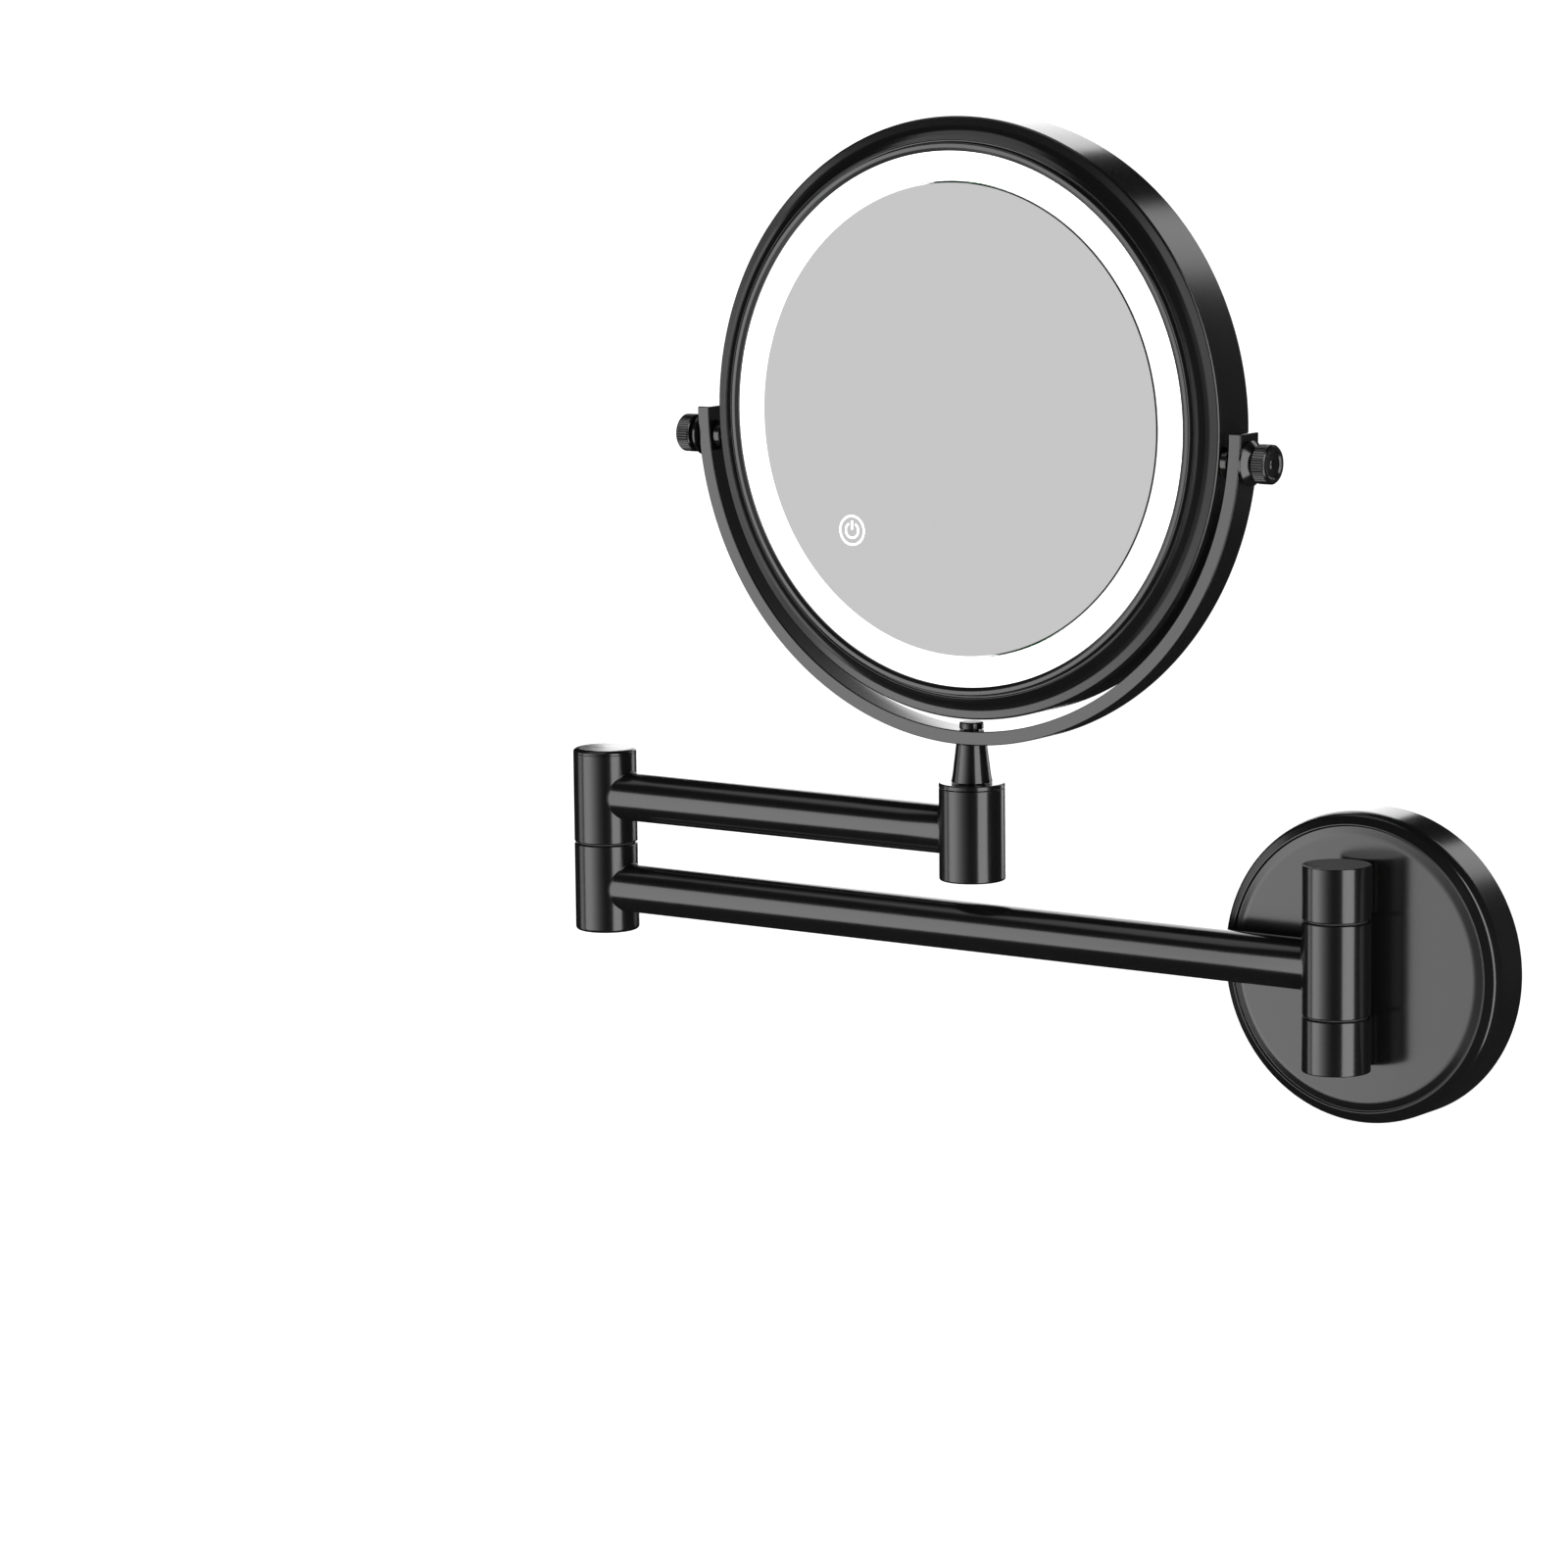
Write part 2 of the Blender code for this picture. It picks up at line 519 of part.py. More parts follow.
def make_post(swivel):
    collar = tube(BARREL_RADIUS, SPIGOT_RADIUS + SLIP, COLLAR_TOP, COLLAR_BOTTOM, CAP_THICKNESS * 0.4)
    turned("swivel_washer", collar, BLACK_METAL, swivel, steps=BARREL_STEPS, closed=True)
    foot = COLLAR_TOP + GAP
    shoulder = YOKE_CENTRE - YOKE_RADIUS - GAP
    shank_end = YOKE_CENTRE - YOKE_INNER + CAP_NUT_HEIGHT - CAP_NUT_ROOF - GAP
    spigot_end = UPPER_BOTTOM + KEEPER_DEPTH - KEEPER_PLAY
    tapped = POST_SCREW_RADIUS + SLIP
    tap_end = spigot_end + KEEPER_SCREW_REACH + 2 * MM
    outline = [
        (0, shank_end), (SHANK_RADIUS, shank_end),
        (SHANK_RADIUS, shoulder), (POST_TOP_RADIUS, shoulder), (POST_BASE_RADIUS, foot + POST_FOOT_HEIGHT),
        (POST_FOOT_RADIUS - POST_FOOT_LIP, foot + 3 * POST_FOOT_LIP),
        (POST_FOOT_RADIUS, foot + POST_FOOT_LIP), (POST_FOOT_RADIUS, foot),
        (SPIGOT_RADIUS, foot), (SPIGOT_RADIUS, spigot_end), (tapped, spigot_end),
        (tapped, tap_end), (0, tap_end),
    ]
    turned("swivel_post", outline, BLACK_METAL, swivel)
    keeper_top = spigot_end - KEEPER_PLAY
    keeper_bottom = keeper_top - KEEPER_THICKNESS
    turned(
        "post_keeper", tube(KEEPER_RADIUS - GAP, tapped, keeper_top, keeper_bottom), STEEL, swivel, closed=True,
    )
    head = keeper_bottom - KEEPER_PLAY
    tip = spigot_end + KEEPER_SCREW_REACH
    screw = [
        (0, tip), (POST_SCREW_RADIUS, tip), (POST_SCREW_RADIUS, head),
        (KEEPER_HEAD_RADIUS, head), (KEEPER_HEAD_RADIUS, head - KEEPER_HEAD_HEIGHT),
        (0, head - KEEPER_HEAD_HEIGHT),
    ]
    turned("post_keeper_screw", screw, STEEL, swivel)
    seat = YOKE_CENTRE - YOKE_INNER + GAP
    nut = [
        (0, seat + CAP_NUT_HEIGHT), (CAP_NUT_RADIUS, seat + CAP_NUT_HEIGHT, CAP_NUT_EDGE),
        (CAP_NUT_RADIUS, seat),
        (SHANK_RADIUS + SLIP, seat), (SHANK_RADIUS + SLIP, seat + CAP_NUT_HEIGHT - CAP_NUT_ROOF),
        (0, seat + CAP_NUT_HEIGHT - CAP_NUT_ROOF),
    ]
    turned("yoke_cap_nut", nut, BLACK_METAL, swivel)


def make_yoke(swivel):
    """A flat strip bent to a half circle round the head's centre, drilled for the post and the two pivots."""
    mesh = bpy.data.meshes.new("yoke")
    shape = bmesh.new()
    middle = YOKE_RADIUS - YOKE_THICKNESS / 2
    bmesh.ops.create_grid(shape, x_segments=1, y_segments=1, size=0.5)
    bmesh.ops.scale(shape, vec=(YOKE_THICKNESS, YOKE_DEPTH, 1), verts=shape.verts)
    bmesh.ops.translate(shape, vec=(middle, 0, 0), verts=shape.verts)
    bmesh.ops.spin(
        shape, geom=shape.verts[:] + shape.edges[:] + shape.faces[:], cent=(0, 0, 0), axis=(0, 1, 0),
        angle=math.pi, steps=YOKE_STEPS, use_duplicate=False,
    )
    bmesh.ops.recalc_face_normals(shape, faces=shape.faces)
    shape.to_mesh(mesh)
    shape.free()
    yoke = add_piece("yoke", mesh, BLACK_METAL, swivel, (0, 0, YOKE_CENTRE))
    bevel(yoke, YOKE_EDGE)
    for side in (-1, 1):
        hole = rod(STUD_RADIUS + SLIP, YOKE_RADIUS * 1.1, YOKE_RADIUS * 0.9)
        combine(yoke, turned_cutter("pivot_hole", hole, swivel, (0, 0, PIVOT_RISE), outwards(side)))
    hole = rod(SHANK_RADIUS + SLIP, -YOKE_INNER * 0.9, -YOKE_RADIUS * 1.1)
    combine(yoke, turned_cutter("shank_hole", hole, swivel, (0, 0, YOKE_CENTRE)))


# Knobs and pivots, drawn along their axis away from the head


def surface_at(radius, height):
    """How far out a cylinder round the head's centre reaches at a height above the tilt axis."""
    return math.sqrt(radius ** 2 - (PIVOT_DROP - height) ** 2)


def make_pivot(side, head, knob):
    name = "right" if side > 0 else "left"
    turn = outwards(side)
    seat = surface_at(YOKE_RADIUS, KNOB_FLANGE_RADIUS) + GAP
    grip = seat + KNOB_NECK_LENGTH
    end = grip + KNOB_GRIP_LENGTH
    bore_end = grip + KNOB_BORE_DEPTH
    cone = seat + KNOB_FLANGE_THICKNESS
    dish = end - KNOB_EDGE
    outline = [
        (0, dish - KNOB_EDGE), (DIMPLE_RADIUS, dish), (KNOB_RADIUS * 0.68, dish),
        (KNOB_RADIUS * 0.74, end), (KNOB_RADIUS - KNOB_EDGE, end), (KNOB_RADIUS, end - KNOB_EDGE),
        (KNOB_RADIUS, grip + KNOB_EDGE), (KNOB_RADIUS - KNOB_EDGE, grip), (KNOB_NECK_RADIUS, grip),
        (KNOB_NECK_RADIUS, cone + KNOB_CONE_LENGTH), (KNOB_FLANGE_RADIUS, cone), (KNOB_FLANGE_RADIUS, seat),
        (STUD_RADIUS + SLIP, seat), (STUD_RADIUS + SLIP, bore_end), (0, bore_end),
    ]
    turned(f"knob_{name}", outline, BLACK_METAL, knob, turn=turn, steps=BARREL_STEPS)
    bush_end = surface_at(HEAD_RADIUS, -BUSH_RADIUS) - BUSH_SINK
    bush_start = bush_end - BUSH_LENGTH
    turned(f"pivot_stud_{name}", rod(STUD_RADIUS, bore_end - GAP, bush_start), STEEL, knob, turn=turn)
    bush = tube(BUSH_RADIUS, STUD_RADIUS + SLIP, bush_end, bush_start)
    turned(f"pivot_bush_{name}", bush, BRASS, head, turn=turn, closed=True)
    spacer = tube(
        SPACER_RADIUS, STUD_RADIUS + SLIP,
        surface_at(YOKE_INNER, -SPACER_RADIUS) - GAP, surface_at(HEAD_RADIUS, SPACER_RADIUS) + GAP,
    )
    turned(f"pivot_spacer_{name}", spacer, BLACK_METAL, head, turn=turn, closed=True)


# Head, drawn with depths forwards from the tilt axis


def make_frame_ring(head, centre):
    inside = HEAD_RADIUS - RING_WALL
    shelf = DIFFUSER_DEPTH + GAP
    groove = BEAD_DEPTH - BEAD_EDGE - BEAD_SIDE
    outline = [
        (LIGHT_RADIUS, shelf), (LIGHT_RADIUS, BEAD_DEPTH, BEAD_EDGE / 2),
        (BEAD_OUTER - 0.2 * MM, BEAD_DEPTH, BEAD_EDGE), (BEAD_OUTER, groove), (BEAD_OUTER + GROOVE_GAP, groove),
        (BEAD_OUTER + 1.5 * GROOVE_GAP, groove + BEAD_EDGE / 2),
        (BEAD_OUTER + COVE_WIDTH / 2, RIM_DEPTH + COVE_DROP), (BEAD_OUTER + COVE_WIDTH, RIM_DEPTH + 1.1 * MM),
        (HEAD_RADIUS - 1.6 * MM, RIM_DEPTH + 0.8 * MM), (HEAD_RADIUS - 0.5 * MM, RIM_DEPTH + 0.4 * MM),
        (HEAD_RADIUS, RIM_DEPTH - 0.5 * MM), (HEAD_RADIUS, RING_BACK, 1.0 * MM), (inside, RING_BACK),
        (inside, RIM_DEPTH - 1.2 * MM), (inside - 2.4 * MM, RIM_DEPTH + 0.6 * MM),
        (TRAY_RADIUS + GAP, RIM_DEPTH + COVE_DROP), (TRAY_RADIUS + GAP, shelf),
    ]
    ring = turned("frame_ring", outline, BLACK_METAL, head, centre, FORWARD, HEAD_STEPS, True)
    for side in (-1, 1):
        hole = rod(BUSH_RADIUS + SLIP, HEAD_RADIUS * 1.1, HEAD_RADIUS * 0.9)
        combine(ring, turned_cutter("bush_hole", hole, head, turn=outwards(side)))


def make_optics(head, centre):
    glass = [
        (0, GLASS_DEPTH), (GLASS_RADIUS, GLASS_DEPTH, GLASS_EDGE),
        (GLASS_RADIUS, GLASS_DEPTH - GLASS_THICKNESS), (0, GLASS_DEPTH - GLASS_THICKNESS),
    ]
    turned("mirror_glass", glass, MIRROR, head, centre, FORWARD, HEAD_STEPS)
    diffuser = tube(TRAY_RADIUS, GLASS_RADIUS + GAP, DIFFUSER_DEPTH, DIFFUSER_DEPTH - DIFFUSER_THICKNESS)
    turned("light_diffuser", diffuser, DIFFUSER, head, centre, FORWARD, HEAD_STEPS, True)


def make_tray(head, centre):
    """A white dish: its rim carries the diffuser, its inner wall the glass, and its bosses take the screws."""
    rim = DIFFUSER_DEPTH - DIFFUSER_THICKNESS - GAP
    seat = GLASS_DEPTH - GLASS_THICKNESS - GAP
    wall = GLASS_RADIUS - GLASS_LEDGE
    floor = TRAY_BACK + TRAY_WALL
    outline = [
        (0, floor), (wall - TRAY_WALL, floor), (wall - TRAY_WALL, seat), (wall, seat), (wall, floor),
        (TRAY_RADIUS - TRAY_WALL, floor), (TRAY_RADIUS - TRAY_WALL, rim), (TRAY_RADIUS, rim),
        (TRAY_RADIUS, TRAY_BACK), (0, TRAY_BACK),
    ]
    tray = turned("carrier_tray", outline, WHITE_PLASTIC, head, centre, FORWARD, INNER_STEPS)
    door_end = RING_BACK + DOOR_THICKNESS + GAP
    cover_end = RING_BACK + COVER_THICKNESS + GAP
    reach = COVER_SCREW_RADIUS * math.sqrt(0.5)
    bosses = [(x * reach, z * reach, cover_end) for x in (-1, 1) for z in (-1, 1)]
    bosses.append((DOOR_SCREW_X, 0, door_end))
    for x, z, end in bosses:
        place = Vector(centre) + Vector((x, 0, z))
        post = rod(SCREW_POST_RADIUS, TRAY_BACK + TRAY_WALL / 2, end)
        combine(tray, turned_cutter("boss", post, head, place, FORWARD, SCREW_STEPS), "UNION")
        bore = rod(POST_SCREW_RADIUS + SLIP, TRAY_BACK - TRAY_WALL, end - GAP)
        combine(tray, turned_cutter("boss_bore", bore, head, place, FORWARD, SCREW_STEPS))


def make_light_boards(head, centre):
    floor = TRAY_BACK + TRAY_WALL + GAP
    board = tube(LIGHT_RADIUS - 2 * GAP, GLASS_RADIUS + 2 * GAP, floor + BOARD_THICKNESS, floor)
    ring = turned("led_board", board, BOARD, head, centre, FORWARD, INNER_STEPS, True)
    shape = bmesh.new()
    radius = (LIGHT_RADIUS + GLASS_RADIUS) / 2
    for index in range(LED_COUNT):
        angle = 2 * math.pi * index / LED_COUNT
        place = Matrix.Rotation(angle, 4, "Z") @ Matrix.Translation((radius, 0, floor + BOARD_THICKNESS))
        bmesh.ops.create_cube(shape, size=LED_SIZE, matrix=place @ Matrix.Diagonal((1, 1, 0.6, 1)))
    leds = bpy.data.meshes.new("leds")
    shape.to_mesh(leds)
    shape.free()
    combine(ring, add_cutter("leds", leds, head, centre, FORWARD), "UNION")
    back = GLASS_DEPTH - GLASS_THICKNESS - GAP
    place = Vector(centre) + Vector((ICON_X, -back + BOARD_THICKNESS / 2, ICON_Z))
    board = box_mesh("touch_board", (TOUCH_BOARD_WIDTH, BOARD_THICKNESS, TOUCH_BOARD_WIDTH))
    add_piece("touch_board", board, BOARD, head, place)


def make_battery_box(head, centre):
    inner_width = 2 * CELL_LENGTH + 2 * CONTACT_THICKNESS + 5 * GAP
    inner_height = 4 * CELL_RADIUS + 3 * GAP
    rim = RING_BACK + COVER_THICKNESS + GAP
    floor = TRAY_BACK - GAP - BOX_WALL
    depth = floor + BOX_WALL - rim
    outer = (inner_width + 2 * BOX_WALL, depth, inner_height + 2 * BOX_WALL)
    place = Vector(centre) + Vector((0, -(rim + depth / 2), 0))
    box = add_piece("battery_box", box_mesh("battery_box", outer), BLACK_PLASTIC, head, place)
    pocket = box_mesh("pocket", (inner_width, depth, inner_height))
    combine(box, add_cutter("pocket", pocket, head, place + Vector((0, BOX_WALL, 0))))
    cell_depth = floor - GAP - CELL_RADIUS
    for index in range(4):
        x = (index % 2) - 0.5
        z = index // 2 - 0.5
        start = Vector(centre) + Vector((
            x * (CELL_LENGTH + GAP) - CELL_LENGTH / 2, -cell_depth, z * (2 * CELL_RADIUS + GAP),
        ))
        cell = [
            (0, CELL_LENGTH), (CELL_NUB_RADIUS, CELL_LENGTH), (CELL_NUB_RADIUS, CELL_LENGTH - CELL_NUB_HEIGHT),
            (CELL_RADIUS, CELL_LENGTH - CELL_NUB_HEIGHT, CELL_EDGE), (CELL_RADIUS, 0, CELL_EDGE), (0, 0),
        ]
        turned(f"battery_cell_{index + 1}", cell, CELL, head, start, SIDEWAYS)
    for side, name in ((-1, "battery_contact_left"), (1, "battery_contact_right")):
        plate = box_mesh(name, (CONTACT_THICKNESS, 1.6 * CELL_RADIUS, inner_height - 2 * GAP))
        offset = Vector((side * (inner_width / 2 - GAP - CONTACT_THICKNESS / 2), -cell_depth, 0))
        add_piece(name, plate, STEEL, head, Vector(centre) + offset)


def make_rear(head, centre):
    radius = HEAD_RADIUS - RING_WALL - GAP
    disc = rod(radius, RING_BACK + COVER_THICKNESS, RING_BACK)
    cover = turned("rear_cover", disc, BLACK_PLASTIC, head, centre, FORWARD, HEAD_STEPS)
    opening = box_mesh("door_opening", (DOOR_WIDTH + 2 * GAP, 3 * COVER_THICKNESS, DOOR_HEIGHT + 2 * GAP))
    place = Vector(centre) + Vector((0, -(RING_BACK + COVER_THICKNESS / 2), 0))
    combine(cover, add_cutter("door_opening", opening, head, place))
    door_place = Vector(centre) + Vector((0, -(RING_BACK + DOOR_THICKNESS / 2), 0))
    slab = box_mesh("battery_door", (DOOR_WIDTH, DOOR_THICKNESS, DOOR_HEIGHT))
    door = add_piece("battery_door", slab, BLACK_PLASTIC, head, door_place)
    reach = COVER_SCREW_RADIUS * math.sqrt(0.5)
    corners = [(x * reach, z * reach) for x in (-1, 1) for z in (-1, 1)]
    names = [f"cover_screw_{index + 1}" for index in range(len(corners))]
    make_screw(names, corners, cover, COVER_THICKNESS, head, centre)
    make_screw(["door_screw"], [(DOOR_SCREW_X, 0)], door, DOOR_THICKNESS, head, centre)


def make_screw(names, corners, plate, thickness, head, centre):
    """Countersunk screws through a plate at the back of the head, each with its hole."""
    for name, (x, z) in zip(names, corners):
        place = Vector(centre) + Vector((x, 0, z))
        top = RING_BACK + thickness
        shaft = POST_SCREW_RADIUS + SLIP
        hole = [
            (0, top + GAP), (shaft, top + GAP), (shaft, top - GAP),
            (SCREW_HEAD_RADIUS + 2 * GAP, RING_BACK - GAP), (0, RING_BACK - GAP),
        ]
        combine(plate, turned_cutter("countersink", hole, head, place, FORWARD, SCREW_STEPS))
        sunk = RING_BACK + SCREW_HEAD_SINK
        screw = [
            (0, top + POST_SCREW_REACH), (POST_SCREW_RADIUS, top + POST_SCREW_REACH),
            (POST_SCREW_RADIUS, top - SCREW_HEAD_SINK - GAP), (SCREW_HEAD_RADIUS, sunk), (0, sunk),
        ]
        turned(name, screw, STEEL, head, place, FORWARD, SCREW_STEPS)


clear_scene()
PARTS = new_collection("shaving_mirror")
CUTTERS = new_collection("cutters")

wall_unit = joint_axis("wall_unit_origin", (0, 0, 0))
make_wall_bracket(wall_unit)
make_rosette(wall_unit)
make_hinge_bracket(wall_unit)

lower_arm = joint_axis("wall_hinge_axis", (0, -HINGE_Y, ARM_RISE), wall_unit)
make_lower_arm(lower_arm)

upper_arm = joint_axis("elbow_axis", (-LOWER_ARM_LENGTH, 0, 0), lower_arm)
make_upper_arm(upper_arm)

swivel_axis = joint_axis("swivel_axis", (UPPER_ARM_LENGTH, 0, 0), upper_arm)
make_post(swivel_axis)
make_yoke(swivel_axis)

tilt_axis = joint_axis("tilt_axis", (0, 0, PIVOT_RISE), swivel_axis)
head_centre = (0, 0, PIVOT_DROP)
for knob_side in (-1, 1):
    knob_axis = joint_axis("knob_axis", (0, 0, PIVOT_RISE), swivel_axis)
    make_pivot(knob_side, tilt_axis, knob_axis)
make_frame_ring(tilt_axis, head_centre)
make_optics(tilt_axis, head_centre)
make_tray(tilt_axis, head_centre)
make_light_boards(tilt_axis, head_centre)
make_battery_box(tilt_axis, head_centre)
make_rear(tilt_axis, head_centre)
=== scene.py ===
import math

import bpy
import numpy as np
from mathutils import Matrix, Vector


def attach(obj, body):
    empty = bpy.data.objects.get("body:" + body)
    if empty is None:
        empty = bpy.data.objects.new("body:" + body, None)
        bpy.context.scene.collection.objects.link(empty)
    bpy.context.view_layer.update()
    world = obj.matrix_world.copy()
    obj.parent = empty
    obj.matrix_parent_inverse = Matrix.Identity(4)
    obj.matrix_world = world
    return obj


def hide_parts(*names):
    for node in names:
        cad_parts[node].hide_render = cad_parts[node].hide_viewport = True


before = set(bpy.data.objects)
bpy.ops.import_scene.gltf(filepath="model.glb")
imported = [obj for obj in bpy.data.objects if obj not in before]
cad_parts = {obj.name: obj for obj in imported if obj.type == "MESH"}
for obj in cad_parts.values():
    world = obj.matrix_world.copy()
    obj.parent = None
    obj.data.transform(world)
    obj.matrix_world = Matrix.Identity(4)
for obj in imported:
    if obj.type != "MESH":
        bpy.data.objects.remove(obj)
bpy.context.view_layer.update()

# ---------------------------------------------------------------- camera, floor and lights
# The mirror is looked at from its right and a little above, against a white sweep. One wide softbox stands
# at the left front, a tall narrow one at the right and a small one overhead, with dark room between them.

MM = 0.001
EYE = Vector((1.0198, -1.7557, 0.3731))
TURN = math.radians(36.11)
DOWN = math.radians(8.66)
ROLL = 0.0112
FIELD = 2 * math.atan(800 / 5937.5)
MIDDLE = Vector((-0.15, -0.03, 0.05))

sight = Vector((-math.sin(TURN) * math.cos(DOWN), math.cos(TURN) * math.cos(DOWN), -math.sin(DOWN)))
across = sight.cross(Vector((0, 0, 1))).normalized()
below = sight.cross(across)
right = across * math.cos(ROLL) + below * math.sin(ROLL)
up = right.cross(sight)
lens = bpy.data.cameras.new("camera")
lens.sensor_fit = "HORIZONTAL"
lens.sensor_width = 36.0
lens.lens = 18.0 / math.tan(FIELD / 2)
lens.clip_end = 200.0
camera = bpy.data.objects.new("camera", lens)
camera.matrix_world = Matrix((
    (right.x, up.x, -sight.x, EYE.x), (right.y, up.y, -sight.y, EYE.y), (right.z, up.z, -sight.z, EYE.z),
    (0, 0, 0, 1),
))
bpy.context.scene.collection.objects.link(camera)
bpy.context.scene.camera = camera
bpy.context.scene.view_settings.view_transform = "Standard"
bpy.context.scene.view_settings.look = "None"


def surface_mesh(name, grids):
    """One mesh from grids of points, each an array (rows, columns, 3): every cell becomes two triangles,
    equal points are joined so that seams and poles close, and a closed shell is turned to face outwards."""
    points, triangles, count = [], [], 0
    for grid in grids:
        rows, columns = grid.shape[:2]
        flat = grid.reshape(-1, 3)
        _, first, back = np.unique(np.round(flat, 8), axis=0, return_index=True, return_inverse=True)
        index = back.reshape(rows, columns)
        a, b, c, d = index[:-1, :-1], index[1:, :-1], index[1:, 1:], index[:-1, 1:]
        cells = np.stack([a, b, c, a, c, d], -1).reshape(-1, 3)
        whole = (cells[:, 0] != cells[:, 1]) & (cells[:, 1] != cells[:, 2]) & (cells[:, 2] != cells[:, 0])
        cells = cells[whole]
        corner = flat[first]
        p, q, r = corner[cells[:, 0]], corner[cells[:, 1]], corner[cells[:, 2]]
        if np.einsum("ij,ij->i", p, np.cross(q, r)).sum() < 0:
            cells = cells[:, ::-1]
        points.append(corner)
        triangles.append(cells + count)
        count += len(corner)
    mesh = bpy.data.meshes.new(name)
    mesh.from_pydata(np.concatenate(points).tolist(), [], np.concatenate(triangles).tolist())
    mesh.validate()
    return mesh


def procedural(name, colour, roughness, metallic=0.0):
    """A material and its Principled shader, with colour, roughness and metallic set."""
    material = bpy.data.materials.new(name)
    material.use_nodes = True
    nodes = material.node_tree.nodes
    shader = nodes["Principled BSDF"]
    shader.inputs["Base Color"].default_value = (*colour, 1.0)
    shader.inputs["Roughness"].default_value = roughness
    shader.inputs["Metallic"].default_value = metallic
    return material, shader


def add_node(material, kind, links=(), **values):
    """A node with its settings and inputs by name, fed by (input, node, output) links."""
    node = material.node_tree.nodes.new(kind)
    for key, value in values.items():
        if hasattr(node, key):
            setattr(node, key, value)
        else:
            node.inputs[key.replace("_", " ")].default_value = value
    for socket, source, output in links:
        material.node_tree.links.new(source.outputs[output], node.inputs[socket])
    return node


floor_grid = np.zeros((25, 2, 3))
run = np.linspace(0, 1, 25)
bend = np.clip((run - 0.4) / 0.3, 0, 1) * math.pi / 2
floor_grid[:, :, 1] = (-6 + 26 * np.clip(run / 0.4, 0, 1) + 8 * np.sin(bend))[:, None]
floor_grid[:, :, 2] = (-1.3 + 8 * (1 - np.cos(bend)) + 12 * np.clip((run - 0.7) / 0.3, 0, 1))[:, None]
floor_grid[:, 0, 0] = -30
floor_grid[:, 1, 0] = 30
floor = bpy.data.objects.new("floor", surface_mesh("floor", [floor_grid]))
bpy.context.scene.collection.objects.link(floor)
floor.data.shade_smooth()
white, shader = procedural("white_floor", (0.9, 0.9, 0.9), 0.8)
shader.inputs["Emission Color"].default_value = (1, 1, 1, 1)
shader.inputs["Emission Strength"].default_value = 1.0
floor.data.materials.append(white)
floor.visible_glossy = False

world = bpy.data.worlds.new("studio")
world.use_nodes = True
world.node_tree.nodes["Background"].inputs["Color"].default_value = (1, 1, 1, 1)
world.node_tree.nodes["Background"].inputs["Strength"].default_value = 0.015
bpy.context.scene.world = world


def softbox(name, azimuth, height, distance, width, tall, radiance):
    """An area light that faces the mirror from an azimuth (0 is straight in front, positive to the right)."""
    lamp = bpy.data.lights.new(name, "AREA")
    lamp.shape = "RECTANGLE"
    lamp.size = width
    lamp.size_y = tall
    lamp.energy = radiance * math.pi * width * tall
    unit = bpy.data.objects.new(name, lamp)
    turn = math.radians(azimuth)
    unit.location = MIDDLE + Vector((math.sin(turn) * distance, -math.cos(turn) * distance, height))
    aim = Vector((MIDDLE.x, MIDDLE.y, unit.location.z if abs(height) < 1 else MIDDLE.z))
    unit.rotation_euler = (aim - unit.location).to_track_quat("-Z", "Y").to_euler()
    unit.visible_camera = False
    bpy.context.scene.collection.objects.link(unit)
    return unit


# The left softbox is a bank of upright strips, brightest where it faces the mirror and fading to the right.
STRIP = 7.5
strip_width = 2 * 1.3 * math.tan(math.radians(STRIP / 2))
lights = [
    softbox(f"left_softbox_{i}", -50.2 + STRIP * i, -0.135, 1.3, strip_width, 1.19, radiance)
    for i, radiance in enumerate([3.6, 3.9, 4.0, 3.6, 2.9, 2.1, 1.4, 0.8, 0.4, 0.15])
]
lights += [
    softbox("left_fill", -68, -0.1, 1.3, 0.4, 1.19, 1.6),
    softbox("right_softbox", 72, 0.1, 1.3, 0.85, 2.6, 4.8),
    softbox("top_softbox", -60, 1.3, 0.6, 1.0, 0.9, 1.0),
    softbox("back_softbox_left", -150, 0.5, 1.5, 0.7, 1.6, 2.5),
    softbox("back_softbox_right", 165, 0.5, 1.5, 0.5, 1.6, 2.0),
]

# ---------------------------------------------------------------- wall plate
# A pressed steel cup with a turned groove round its face, powder-coated satin black. It hides the cast
# bracket and is held on it by a grub screw from below.


def rounded(outline, steps=6, closed=False):
    """Rows (radius, height[, fillet]) as points: a fillet becomes an arc that touches both its sides, and
    long straight sides get a point near each end, so that shading stays flat between them."""
    points = []
    count = len(outline)
    for index, row in enumerate(outline):
        corner = np.array(row[:2], float)
        if len(row) < 3 or row[2] <= 0:
            points.append(corner)
            continue
        last = np.array(outline[index - 1][:2], float) - corner
        following = np.array(outline[(index + 1) % count][:2], float) - corner
        last /= np.linalg.norm(last)
        following /= np.linalg.norm(following)
        half = math.acos(np.clip(last @ following, -1, 1)) / 2
        middle = corner + (last + following) / np.linalg.norm(last + following) * row[2] / math.sin(half)
        start = corner + last * row[2] / math.tan(half) - middle
        end = corner + following * row[2] / math.tan(half) - middle
        t = np.linspace(0, 1, steps + 1)[:, None]
        sweep = math.pi - 2 * half
        arc = (np.sin((1 - t) * sweep) * start + np.sin(t * sweep) * end) / math.sin(sweep)
        points.extend(middle + arc)
    points = np.array(points)
    if closed:
        points = np.vstack([points, points[:1]])
    dense = [points[:1]]
    for a, b in zip(points[:-1], points[1:]):
        length = np.linalg.norm(b - a)
        margin = 0.3 * MM
        if length > 4 * margin:
            dense.append(a + (b - a) * margin / length)
            dense.append(b - (b - a) * margin / length)
        dense.append(b)
    return np.vstack([row.reshape(-1, 2) for row in dense])


